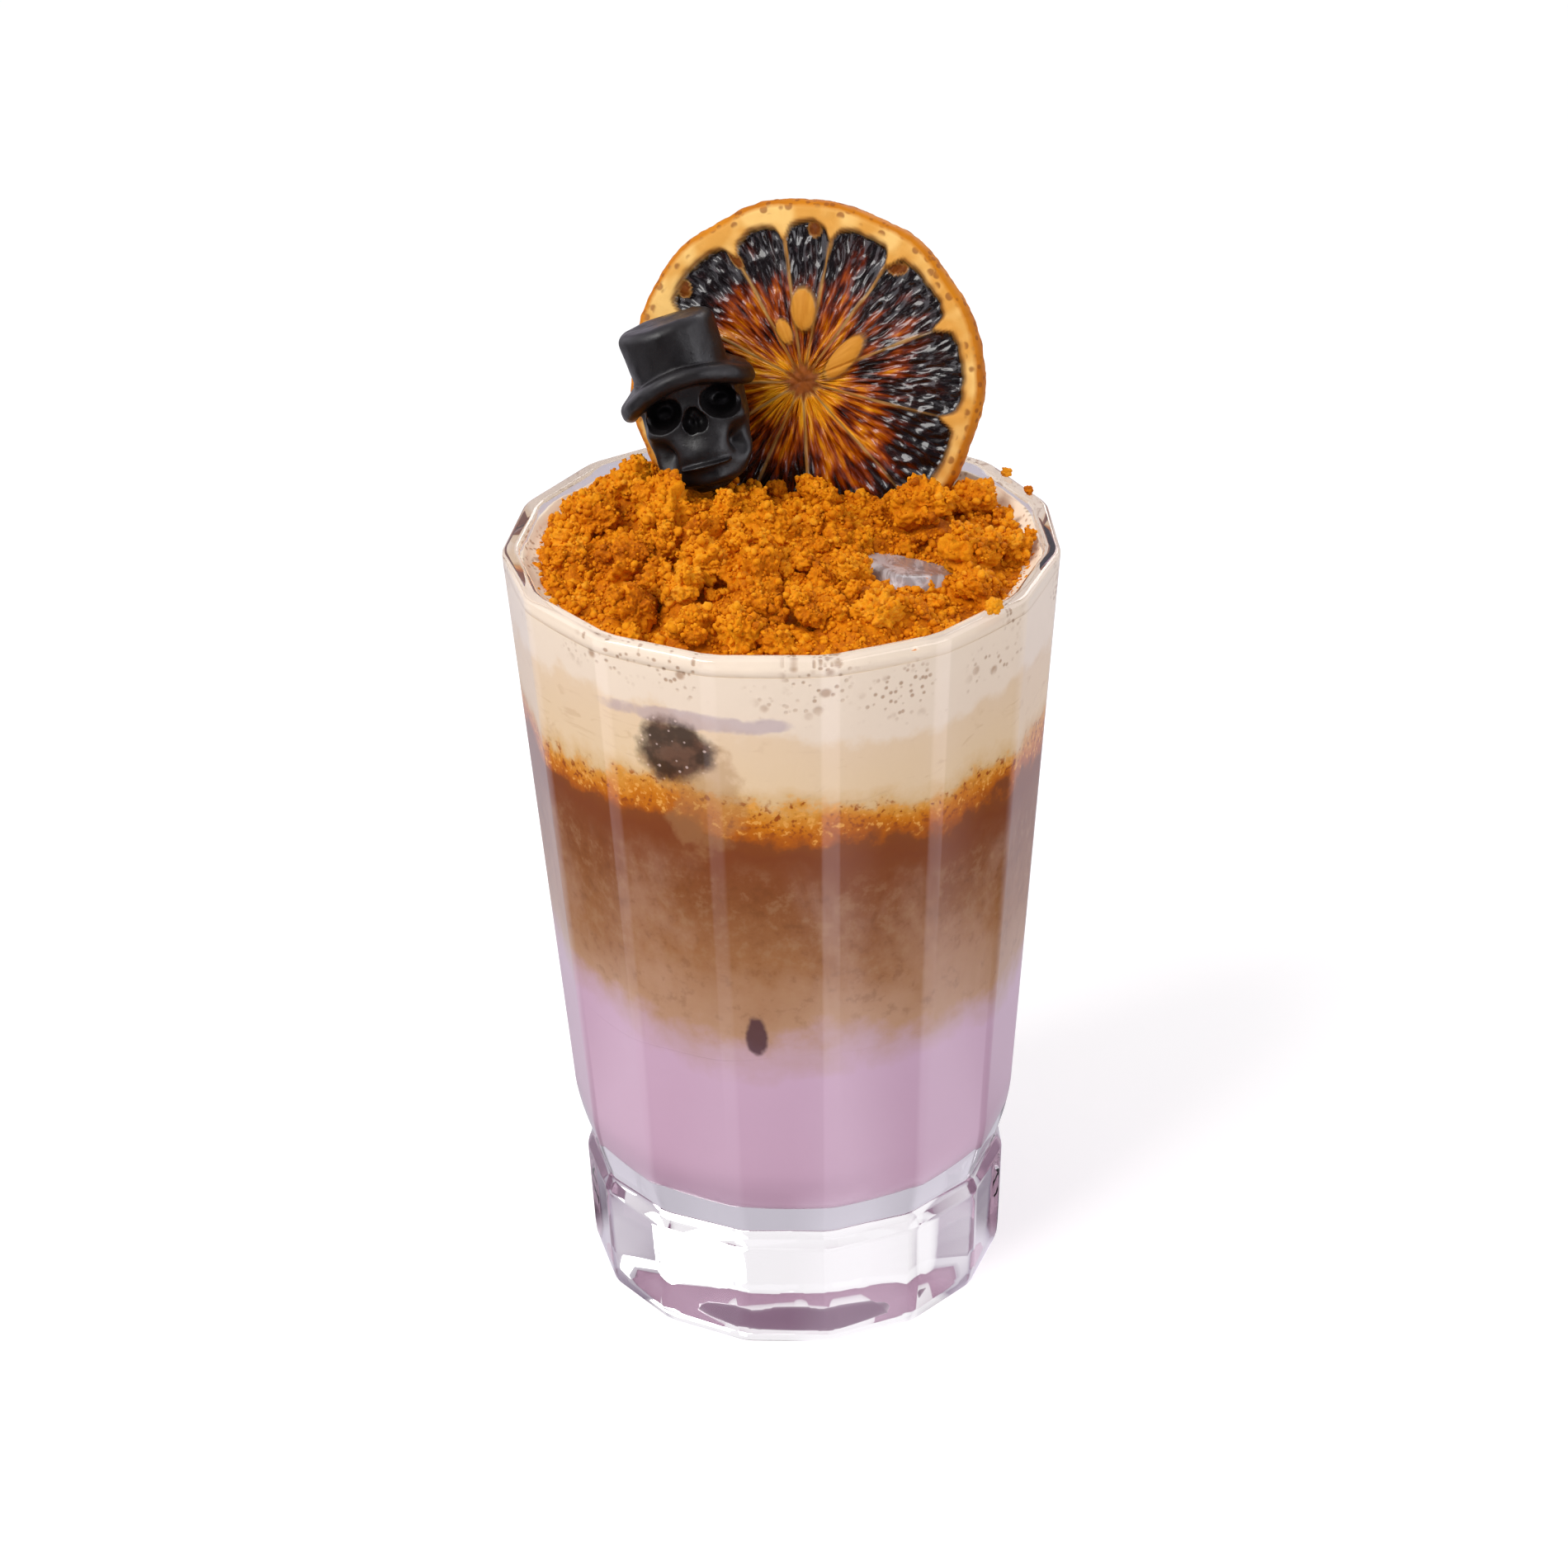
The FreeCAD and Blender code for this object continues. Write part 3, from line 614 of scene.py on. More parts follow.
def climb(levels, radius, z):
    """Extrudes the selected face through (radius, z) levels and returns the height where it ends."""
    for next_radius, next_z in levels:
        extrude((0, 0, next_z - z))
        share = next_radius / radius
        bpy.ops.transform.resize(value=(share, share, 1), center_override=(0, 0, next_z))
        radius, z = next_radius, next_z
    return z


def choose_face(thing, z):
    """Selects the one face that lies level at this height."""
    bpy.ops.mesh.select_all(action="DESELECT")
    shape = bmesh.from_edit_mesh(thing.data)
    for face in shape.faces:
        level = abs(face.calc_center_median().z - z) < SAME_PLACE
        face.select_set(level and len(face.verts) > PANELS)
    shape.select_flush_mode()
    bmesh.update_edit_mesh(thing.data)


def make_round(thing, radius, z):
    """Moves the corners of the selected face onto a circle, as the inner wall is round."""
    shape = bmesh.from_edit_mesh(thing.data)
    for point in shape.verts:
        if point.select:
            share = radius / hypot(point.co.x, point.co.y)
            point.co = Vector((point.co.x * share, point.co.y * share, z))
    bmesh.update_edit_mesh(thing.data)


# %% Model the tumbler
bpy.ops.object.select_all(action="DESELECT")
foot_radius = FOOT[0][0] * MM
bpy.ops.mesh.primitive_circle_add(
    vertices=PANELS, radius=foot_radius, fill_type="NGON", rotation=(0, 0, PANEL_TURN - pi)
)
glass = settle(new_piece("glass_tumbler"))
edit(glass, "SELECT")
bpy.ops.mesh.bevel(offset=EDGE_ROUND * tan(pi / PANELS), segments=EDGE_STEPS, affect="VERTICES")
bpy.ops.mesh.select_mode(type="FACE")
bpy.ops.mesh.select_all(action="SELECT")
top_z = climb(outside_levels()[1:], foot_radius, 0.0)
first, *rest = inside_levels()
extrude((0, 0, first[1] - top_z))
make_round(glass, *first)
climb(rest, *first)
choose_face(glass, 0.0)
kick_radius = KICK[0][0] * MM
extrude((0, 0, 0))
make_round(glass, kick_radius, 0.0)
climb([(radius * MM, z * MM) for radius, z in KICK[1:]], kick_radius, 0.0)
done()
outward(glass)
smooth(glass)
weighted = glass.modifiers.new("weighted", "WEIGHTED_NORMAL")
weighted.mode = "FACE_AREA_WITH_ANGLE"
weighted.weight = 80
apply_all(glass)

# %% [markdown]
# Clear glass is one shader: full transmission, no roughness and the index of soda glass. Real glass lets
# soft light through to what stands in it, which a path tracer finds slowly, so shadow rays and diffuse
# rays pass straight through.

# %% Glass
def glass_look():
    look = Recipe("pressed glass")
    shader = look.surface(Base_Color="FBF8FB", Roughness=0.0, IOR=1.5, Transmission_Weight=1.0)
    through = look.add("ShaderNodeBsdfTransparent", {"Color": (0.97, 0.96, 0.97, 1)})
    rays = look.rays()
    soft = look.maths("MAXIMUM", rays["Is Shadow Ray"], rays["Is Diffuse Ray"])
    look.show(look.add("ShaderNodeMixShader", {0: soft, 1: shader.outputs[0], 2: through.outputs[0]}))
    return look.material


finish_piece(glass, "tumbler", glass_look(), "tumbler")

# %% [markdown]
# ## Milk, coffee, soaked crumbs, cream and foam
#
# If a drink stops exactly at the glass, a hair of air shows between them. Real drink wets the wall. Each
# layer is a copy of its solid, made a little wider so that it reaches into the wall all round.

# %% The layers
WETTING = 0.25 * MM  # how much wider than its solid a layer is
WETTED = 1 + WETTING / INSIDE_AT_FOAM
MILK_HINGE = 60 * MM  # the milk is stretched down into the cavity's floor from this height
LAYERS = ("milk", "coffee", "soaked_crumbs", "cream", "foam")


def layer_look(name, roughness, strength):
    look = Recipe(name)
    colour = look.add("ShaderNodeGroup", {"Place": look.object_place()}, node_tree=drink_colour.tree).outputs
    look.surface(
        Base_Color=colour["Colour"],
        Roughness=roughness,
        Specular_IOR_Level=0.15,
        Normal=look.bump(colour["Height"], strength, 0.4 * MM),
    )
    return look.material


for node in LAYERS:
    layer = copy_of(node, node + "_layer")
    edit(layer, "SELECT")
    bpy.ops.transform.resize(value=(WETTED, WETTED, 1), center_override=(0, 0, 0))
    if node == "milk":
        deeper = (1, 1, 1 + WETTING / MILK_HINGE)
        bpy.ops.transform.resize(value=deeper, center_override=(0, 0, MILK_HINGE))
    done()
    smooth(layer, 40)
    airy = node in ("foam", "cream")
    finish_piece(layer, node, layer_look(node, 0.55 if airy else 0.3, 0.35 if airy else 0.1), node)

# %% [markdown]
# Poured foam also clings to the wall above its level. A thin ring, spun from a short profile, climbs
# almost to the lip, higher in some places than in others, so that crumbs don't show through the wall.

# %% Foam that clings to the wall
CLING_STEPS = 180
CLING_HIGH = 2.5 * MM
WALL_IN = INSIDE_AT_FOAM + 0.5 * WETTING
# Millimetres out of the wall, and how high: a share of the climb, or millimetres where it is sunk.
CLING_PROFILE = (
    (-3.6, -0.5),
    (0.0, -0.5),
    (0.12, 1.0),
    (-0.35, 0.95),
    (-0.9, 0.55),
    (-2.0, 0.22),
    (-3.0, 0.06),
)


def thread(name, points):
    """A new object that holds one chain of points, made by extruding a single point."""
    bpy.ops.object.select_all(action="DESELECT")
    bpy.ops.mesh.primitive_plane_add(size=1 * MM, location=(0, 0, 0))
    thing = new_piece(name)
    edit(thing, "SELECT")
    bpy.ops.mesh.merge(type="CENTER")
    bpy.ops.transform.translate(value=points[0])
    for before, after in zip(points, points[1:]):
        extrude([b - a for a, b in zip(before, after)])
    done()
    return thing


def spun(name, points, steps):
    """Spins a chain of points about the upright axis through the origin and closes it."""
    thing = thread(name, points)
    edit(thing, "SELECT")
    bpy.ops.mesh.spin(steps=steps, angle=2 * pi, center=(0, 0, 0), axis=(0, 0, 1))
    done()
    return outward(thing)


def round_noise(turn, waves, seed):
    """Noise that closes on itself once round."""
    return noise.noise(Vector((sin(turn) * waves, cos(turn) * waves, seed)))


chain = []
for out, up in CLING_PROFILE:
    chain.append((WALL_IN + out * MM, 0, FOAM_Z + (up * CLING_HIGH if up > 0 else up * MM)))
cling = spun("foam_cling", chain + [chain[0]], CLING_STEPS)
for point in cling.data.vertices:
    rise = max(0.0, point.co.z - FOAM_Z)
    turn = atan2(point.co.x, -point.co.y)
    climbs = 0.86 + 0.34 * cos(turn) * 0.5 + 0.35 * round_noise(turn, 3, 1) + 0.12 * round_noise(turn, 22, 5)
    point.co.z = min(point.co.z, FOAM_Z) + rise * min(1.12, max(0.3, climbs))
smooth(cling)
finish_piece(cling, "foam", layer_look("foam cling", 0.55, 0.35), "foam")

# %% [markdown]
# ## Biscuit crumbs
#
# The drink is topped with caramelised biscuit, crushed by hand. It breaks into lumps the size of a pea,
# smaller pieces and a lot of sand. A single sculpted heap never looks crumbly, so a core only keeps the
# form of the heap, and real crumbs lie over it. Every crumb starts as an icosphere that is cut by chance
# planes and made grainy. Each kind is modelled a few times over and copied many times.

# %% Kinds of crumb
def grain_pit(place):
    """Nought on a grain of sugar or crumb, one in the pit between grains."""
    near, second = noise.voronoi(place)[0][:2]
    return 1 - min(1.0, (second - near) * 1.8)


def crumb_shape(name, seed, steps, cuts, rough, cell=0.0):
    """A broken crumb one unit across: a ball cut by chance planes, then made grainy."""
    chance = random.Random(seed)
    bpy.ops.object.select_all(action="DESELECT")
    bpy.ops.mesh.primitive_ico_sphere_add(subdivisions=steps, radius=0.5)
    crumb = new_piece(name)
    planes = []
    for _ in range(cuts):
        way = Vector([chance.gauss(0, 1) for _ in range(3)]).normalized()
        planes.append((way, chance.uniform(0.27, 0.42)))
    drift = Vector([chance.uniform(-50, 50) for _ in range(3)])
    for point in crumb.data.vertices:
        way = point.co.normalized()
        reach = 0.5
        for plane, depth in planes:
            facing = way.dot(plane)
            if facing > 0.05:
                reach = min(reach, depth / facing)
        reach = 0.8 * reach + 0.1
        reach *= 1 + rough * noise.fractal(way * 1.6 + drift, 0.7, 2.1, 4)
        if cell:
            reach -= 0.42 * cell * grain_pit((way * reach + drift) / cell)
            reach += 0.20 * cell * noise.noise((way * reach + drift) / (0.5 * cell))
        point.co = way * reach
    return crumb


def kinds_of(name, count, seed, **form):
    """Several crumbs of one size, each with its own seed."""
    made = [crumb_shape(f"{name}_{i}", seed + i, **form) for i in range(count)]
    report(made[0])
    return made


LUMP_KINDS = kinds_of("lump", 5, 10, steps=5, cuts=6, rough=0.42, cell=0.115)
PIECE_KINDS = kinds_of("piece", 4, 30, steps=4, cuts=6, rough=0.36, cell=0.21)
GRAIN_KINDS = kinds_of("grain", 5, 50, steps=2, cuts=5, rough=0.30)
SAND_KINDS = kinds_of("sand", 4, 70, steps=1, cuts=4, rough=0.25)

# %% [markdown]
# The core is the heap itself, let down so that real crumbs can stand on it with dark gaps between them.
# It is also the ground that crumbs are dropped on: a ray goes down at a chance place, and the crumb lies
# where the ray lands. Bare foam stays bare because the heap has no height there.

# %% Core of the heap
CORE_DROP = 2.3 * MM
CORE_SKIN = 0.05 * MM  # the least height that it keeps over the foam


def ground_of(thing):
    """A piece as something that rays can land on."""
    return BVHTree.FromObject(thing, bpy.context.evaluated_depsgraph_get())


core = copy_of("crumb_heap", "crumb_core")
finer = core.modifiers.new("finer", "SUBSURF")
finer.subdivision_type = "SIMPLE"
finer.levels = finer.render_levels = 2
apply_all(core)
heap_top = ground_of(core)
for point in core.data.vertices:
    if point.co.z < FOAM_Z + 0.02 * MM:
        continue
    here = Vector(point.co)
    pit = grain_pit(here / (1.5 * MM)) * 0.5 * MM
    lump = noise.fractal(here / (3.5 * MM), 0.8, 2.0, 3) * 0.5 * MM
    sink = min(CORE_DROP + pit - lump, here.z - FOAM_Z - CORE_SKIN)
    point.co.z = here.z - max(0.0, sink)
smooth(outward(core))
report(core)


# %% Where a crumb lands
DROP_Z = RIM_Z + 60 * MM
SKULL_MIDDLE = middle_of("skull")
SKULL_REACH = 5.0 * MM


def drop(ground, x, y):
    """The place where a ray straight down meets this ground, and the slope there."""
    return ground.ray_cast(Vector((x, y, DROP_Z)), Vector((0, 0, -1)))[:2]


def land(x, y, grounds):
    """The highest place, and its slope, where something dropped here comes to rest."""
    hits = [drop(ground, x, y) for ground in grounds]
    return max((hit for hit in hits if hit[0]), key=lambda hit: hit[0].z)


def laid_crumb(kinds, place, slope, size, sunk, chance):
    """One crumb of this size, resting with its lower part sunk in what is under it."""
    angle = chance.uniform(0, 2 * pi)
    spin = Matrix.Rotation(angle, 4, Vector([chance.gauss(0, 1) for _ in range(3)]))
    stretch = Matrix.Diagonal((*[size * chance.uniform(0.8, 1.2) for _ in range(3)], 1))
    middle = place + slope * size * (0.5 - sunk)
    return (chance.choice(kinds), Matrix.Translation(middle) @ spin @ stretch)


def cover(count, kinds, sizes, chance, grounds, sunk, thick, apart=0.0):
    """Chance crumbs over the heap, no nearer to each other than a share of their size.

    Sizes and the least thickness of the heap under a crumb are in millimetres.
    """
    small, large = sizes[0] * MM, sizes[1] * MM
    laid, spots = [], []
    for _ in range(40 * count):
        if len(laid) == count:
            break
        far = INSIDE_AT_FOAM * sqrt(chance.random())
        turn = chance.uniform(-pi, pi)
        x, y = far * sin(turn), -far * cos(turn)
        size = small * (large / small) ** chance.random()
        if far > INSIDE_AT_FOAM - 0.52 * size:
            continue
        if hypot(x - SKULL_MIDDLE.x, y - SKULL_MIDDLE.y) < SKULL_REACH + 0.35 * size:
            continue
        if any(hypot(x - a, y - b) < apart * (size + c) / 2 for a, b, c in spots):
            continue
        heap = drop(heap_top, x, y)[0]
        if not heap or heap.z < FOAM_Z + thick * MM:
            continue
        place, slope = land(x, y, grounds)
        laid.append(laid_crumb(kinds, place, slope, size, sunk, chance))
        if apart:
            spots.append((x, y, size))
    return laid


def keep(mesh, name, values, kind="FLOAT", what="value"):
    """Keeps a value on every point of a mesh, for its finish to read."""
    mesh.attributes.new(name, kind, "POINT").data.foreach_set(what, values)


def heap_up(name, laid):
    """Joins copies of the crumbs into one piece, each copy carrying its own chance shade."""
    chance = random.Random(name)
    places, faces, shades = [], [], []
    count = 0
    for kind, matrix in laid:
        points = np.empty(len(kind.data.vertices) * 3)
        kind.data.vertices.foreach_get("co", points)
        corners = np.empty(len(kind.data.loops), dtype=int)
        kind.data.loops.foreach_get("vertex_index", corners)
        turn = np.array(matrix)
        points = points.reshape(-1, 3) @ turn[:3, :3].T + turn[:3, 3]
        places.append(points)
        faces.append(corners.reshape(-1, 3) + count)
        shades.append(np.full(len(points), chance.random()))
        count += len(points)
    thing = in_scene(name, bpy.data.meshes.new(name))
    thing.data.from_pydata(np.concatenate(places), [], np.concatenate(faces))
    keep(thing.data, "shade", np.concatenate(shades))
    return smooth(thing)


# %% Lay the crumbs, the largest first
# Crumbs on the rim: place, height over the rim and size in millimetres.
ON_RIM = ((31.1, -28.0, 0.9, 2.6), (36.0, 21.2, 0.7, 1.9), (38.9, 14.1, 0.6, 1.6))

chance = random.Random(7)
grounds = [ground_of(core)]
lumps = cover(38, LUMP_KINDS, (6.0, 10.5), chance, grounds, sunk=0.30, thick=1.4, apart=0.62)
lumps = heap_up("crumb_lumps", lumps)
grounds.append(ground_of(lumps))
pieces = cover(135, PIECE_KINDS, (2.4, 4.6), chance, grounds, sunk=0.36, thick=0.9, apart=0.5)
pieces = heap_up("crumb_pieces", pieces)
grounds.append(ground_of(pieces))
grains = cover(2000, GRAIN_KINDS, (0.75, 1.6), chance, grounds, sunk=0.30, thick=0.25)
for x, y, z, size in ON_RIM:
    place = Vector((x * MM, y * MM, RIM_Z + z * MM))
    grains.append(laid_crumb(PIECE_KINDS, place, Vector((0, 0, 1)), size * MM, 0.5, chance))
grains = heap_up("crumb_grains", grains)
sand = cover(7000, SAND_KINDS, (0.35, 0.85), chance, grounds, sunk=0.25, thick=0.05)
sand = heap_up("crumb_sand", sand)

# %% [markdown]
# Caramelised crust is a deep golden orange. The sugar makes it saturated, so almost no blue is left in
# its colour. The chance shade that each crumb carries keeps neighbours apart, and a fine speckle does the
# rest. The core is painted darker, as painted shade for the gaps between crumbs.

# %% Crumb finish
CRUST = ((0.24, "823800"), (0.38, "B86000"), (0.50, "D67C02"), (0.64, "E6920C"), (0.84, "ECA634"))


def crumb_look(name, own_shade, darker=0.0):
    look = Recipe(name)
    place = look.object_place()
    broad = look.noise(place, 160.0, detail=3.0)
    fine = look.noise(place, 1700.0, detail=3.0, rough=0.7)
    tone = look.times_plus(broad, 0.50, look.times_plus(fine, 0.50, 0.05))
    # Taking this much off the tone is painted shade, for the core seen in the gaps between crumbs.
    tone = look.maths("SUBTRACT", tone, darker)
    if own_shade:
        shade = look.attribute("shade")["Fac"]
        tone = look.maths("ADD", tone, look.times_plus(shade, 0.24, -0.12))
    look.surface(
        Base_Color=look.ramp(tone, CRUST),
        Roughness=0.7,
        Specular_IOR_Level=0.12,
        Normal=look.bump(fine, 0.6, 0.25 * MM),
    )
    return look.material


crumbly = crumb_look("biscuit crumb", True)
finish_piece(core, "crumb_heap", crumb_look("biscuit crumb core", False, 0.12), "crumb_heap")
for thing in (lumps, pieces, grains, sand):
    finish_piece(thing, "crumb_heap", crumbly, "crumb_heap")
for kind in LUMP_KINDS + PIECE_KINDS + GRAIN_KINDS + SAND_KINDS:
    bpy.data.objects.remove(kind)

# %% [markdown]
# ## The dried orange slice
#
# A slice of orange dries to a stiff disc. The peel shrinks to a bumpy rim and the pith stays pale, while
# the juice sacs go almost black and glossy and sink between the thin skins of the segments, which run from
# the core like spokes. The disc is made lying flat: half its outline, from the middle of the back round
# to the middle of the front, is spun once round. Then every point is lifted or sunk by rules that know
# the segments.

# %% Sizes of the slice
SLICE_THICK = 4.6 * MM
SLICE_LEAN = pi / 2 - radians(20)  # it lies flat at first
SLICE_YAW = radians(-15)
SLICE_MIDDLE = middle_of("orange_slice")
SLICE_RADIUS = 28.8 * MM
RIPPLE = 0.28 * MM
PULP_RADIUS = 25.4 * MM
CORE_RADIUS = 2.6 * MM
PIP_WALL = 1.12  # where the raised skin round a pip runs, as a share of the pip
SEGMENT_SKINS = (-174, -145, -111, -83, -43, -10, 25, 57, 82.5, 101.5, 123, 157)
SECTORS = 480
PULP_RINGS = 60
RIM_STEPS = 7
# Pips: place, half length, half width and turn of the long way from the right.
PIPS = ((-0.6, 11.3, 3.1, 1.9, 98), (6.5, 4.3, 4.1, 1.6, 52), (-3.4, 7.6, 1.9, 1.1, 120))
# Amber juice sacs that stayed clear: place, half length, half width and turn.
AMBER_SACS = (
    (14.0, 18.6, 1.7, 0.9, 5),
    (-12.3, 18.4, 1.9, 0.8, -50),
    (-20.3, 13.0, 1.4, 1.0, 80),
    (0.2, 24.0, 1.3, 1.1, 90),
)
print("slice radius", round(SLICE_RADIUS / MM, 2), "middle", [round(c / MM, 1) for c in SLICE_MIDDLE])


# %% The plain disc
def disc_levels():
    """Radius and height of every ring, from the middle of the back round to the middle of the front."""
    half, rim = SLICE_THICK / 2, 1.5 * MM
    out = [(SLICE_RADIUS - rim) * (k / PULP_RINGS) ** 0.9 for k in range(PULP_RINGS + 1)]
    levels = [(radius, -half) for radius in out]
    for step in range(1, RIM_STEPS):
        turn = pi * step / RIM_STEPS - pi / 2
        bulge = copysign(abs(sin(turn)) ** 0.8, sin(turn))
        levels.append((SLICE_RADIUS - rim + rim * cos(turn) ** 0.8, half * bulge))
    levels += [(radius, half) for radius in reversed(out)]
    return levels


slice_piece = spun("dried_orange_slice", [(radius, 0, z) for radius, z in disc_levels()], SECTORS)

# %% [markdown]
# Each point asks where it is: how far from the nearest segment skin, inside which segment, near a pip or
# on the peel. The answers are also kept on the points as attributes, so that the finish follows the same
# forms as the relief.

# %% Rules of the slice
def fade(value, low, high):
    """Nought below low and one above high, with soft ends."""
    share = min(1.0, max(0.0, (value - low) / (high - low)))
    return share * share * (3 - 2 * share)


def nearest_skin(turn):
    """Degrees to the nearest segment skin, and the number of the segment."""
    skins = SEGMENT_SKINS
    index = sum(turn >= skin for skin in skins) % len(skins)
    after, before = skins[index], skins[index - 1]
    return min((turn - before) % 360, (after - turn) % 360), index


FAR_OFF = 9.0  # the back has no pips and no amber sacs


def in_oval(x, y, oval):
    """Below one inside an oval, one on its edge."""
    at_x, at_y, length, width, turn = oval
    c, s = cos(radians(turn)), sin(radians(turn))
    dx, dy = x / MM - at_x, y / MM - at_y
    return hypot((dx * c + dy * s) / length, (dy * c - dx * s) / width)


def bell(value, width):
    """One at nought, falling off softly over this width."""
    return exp(-((value / width) ** 2))


def slice_rules(x, y, side):
    """Lift over the flat face and what the slice is made of, at a place on one face."""
    out, turn = hypot(x, y), degrees(atan2(y, x))
    here = Vector((x, y, side * MM))
    off, index = nearest_skin(turn)
    sway = 1.1 * noise.noise(Vector((out / (5 * MM), index * 3.1, side * 7.0)))
    arc = radians(off + sway * fade(out, 6 * MM, 20 * MM)) * out
    # The pulp ends short of the peel, and shorter still in the corners by the skins.
    chance = noise.noise(Vector((index * 1.7, side * 5.3, 2.0)))
    end = PULP_RADIUS + (0.5 * x / SLICE_RADIUS + 0.5 * chance) * MM
    corner = radians(off) * PULP_RADIUS
    end -= 2.0 * MM * bell(corner, 0.9 * MM) + 0.9 * MM * bell(corner, 2.6 * MM)
    end += 0.35 * MM * noise.noise(Vector((turn / 4, index, side)))
    inside = fade(end - out, -0.15 * MM, 0.55 * MM)
    skin = bell(arc, 0.17 * MM) * fade(out, CORE_RADIUS * 0.8, CORE_RADIUS * 1.6)
    core_edge = 1 + 0.35 * bell(off, 7) + 0.15 * noise.noise(Vector((turn / 9, 4, side)))
    core_edge *= CORE_RADIUS
    core = 1 - fade(out, core_edge * 0.75, core_edge * 1.1)
    pulp = inside * (1 - core)
    # Sacs run outwards, so this place turns fast with the angle and slowly with the radius.
    fibre = Vector((cos(radians(turn)) * 24, sin(radians(turn)) * 24, out / MM * 0.33 + index * 9))
    coarse = noise.fractal(fibre * 0.55, 0.8, 2.0, 2)
    ridge = 1 - abs(noise.noise(fibre)) * 2.6
    pip = min(in_oval(x, y, oval) for oval in PIPS) if side > 0 else FAR_OFF
    amber = min(in_oval(x, y, oval) for oval in AMBER_SACS) if side > 0 else FAR_OFF
    open_pulp = pulp * (1 - skin) * fade(pip, 0.9, 1.25)
    sunk = 0.62 + 0.30 * fade(arc, 0.2 * MM, 2.0 * MM) + 0.25 * fade(out, 8 * MM, 20 * MM)
    lift = -sunk * open_pulp * MM + (0.34 * ridge + 0.30 * coarse) * open_pulp * MM
    lift -= 0.30 * MM * skin * inside
    lift -= 0.85 * MM * core * (0.7 + 0.6 * noise.noise(here / (0.9 * MM)))
    lift += 0.55 * MM * sqrt(max(0.0, 1 - (pip / 1.05) ** 2)) + 0.18 * MM * bell(pip - PIP_WALL, 0.10)
    lift += 0.12 * MM * sqrt(max(0.0, 1 - amber**2))
    peel = fade(out, SLICE_RADIUS - 1.35 * MM, SLICE_RADIUS - 0.75 * MM)
    lift += 0.10 * MM * noise.fractal(here / (1.6 * MM), 0.8, 2.0, 3) * (1 - pulp)
    lift -= 0.22 * MM * peel * fade(noise.noise(Vector((turn * 0.5, side, out / MM))), 0.0, 0.4)
    masks = {
        "pulp": open_pulp * fade(amber, 0.85, 1.1),
        "skin": max(skin * inside, bell(pip - PIP_WALL, 0.12) * pulp),
        "pip": 1 - fade(pip, 0.95, 1.05),
        "amber": (1 - fade(amber, 0.85, 1.1)) * pulp,
        "core": core,
        "peel": peel,
        "reach": out / PULP_RADIUS,
        "edge": bell(end - out, 0.35 * MM),
    }
    return lift, masks, fibre


# %% Sculpt the slice
mesh = slice_piece.data
kept, fibres = {}, []
for point in mesh.vertices:
    x, y, z = point.co
    side = 1 if z > 0 else -1
    lift, masks, fibre = slice_rules(x, y, side)
    turn, out = atan2(y, x), hypot(x, y)
    ripple = sin(3 * turn + 1.0) + 0.6 * sin(8 * turn) + 0.5 * sin(13 * turn + 2)
    flat = fade(abs(z), SLICE_THICK * 0.25, SLICE_THICK * 0.49)
    grow = 1 + RIPPLE * ripple / SLICE_RADIUS * fade(out, PULP_RADIUS * 0.8, SLICE_RADIUS)
    dent = 0.16 * MM * noise.fractal(Vector((x, y, z)) / (1.5 * MM), 0.8, 2.0, 2) * masks["peel"]
    grow += (dent - 0.1 * MM * masks["peel"]) / SLICE_RADIUS
    warp = 0.25 * MM * sin(2 * turn + 0.6) * (out / SLICE_RADIUS) ** 2
    point.co = Vector((x * grow, y * grow, z + side * lift * flat + warp))
    for name, value in masks.items():
        kept.setdefault(name, []).append(value)
    fibres.extend(fibre)
for name, values in kept.items():
    keep(mesh, name, values)
keep(mesh, "fibre", fibres, "FLOAT_VECTOR", "vector")
stand = Matrix.Rotation(SLICE_YAW, 4, "Z") @ Matrix.Rotation(SLICE_LEAN, 4, "X")
mesh.transform(Matrix.Translation(SLICE_MIDDLE) @ stand)
smooth(slice_piece)

# %% [markdown]
# Dried pulp is nearly black at the rim of the segments and clears to amber towards the core, where the
# slice is thinnest. The streaks follow the sacs, so the noise is read from the fibre attribute, which runs
# round with the turn and out with the radius.

# %% Finish of the slice
FLESH = (
    (0.08, "F0A416"),
    (0.20, "D07A02"),
    (0.33, "9C4200"),
    (0.46, "5C1A00"),
    (0.58, "220804"),
    (0.74, "0C0506"),
)


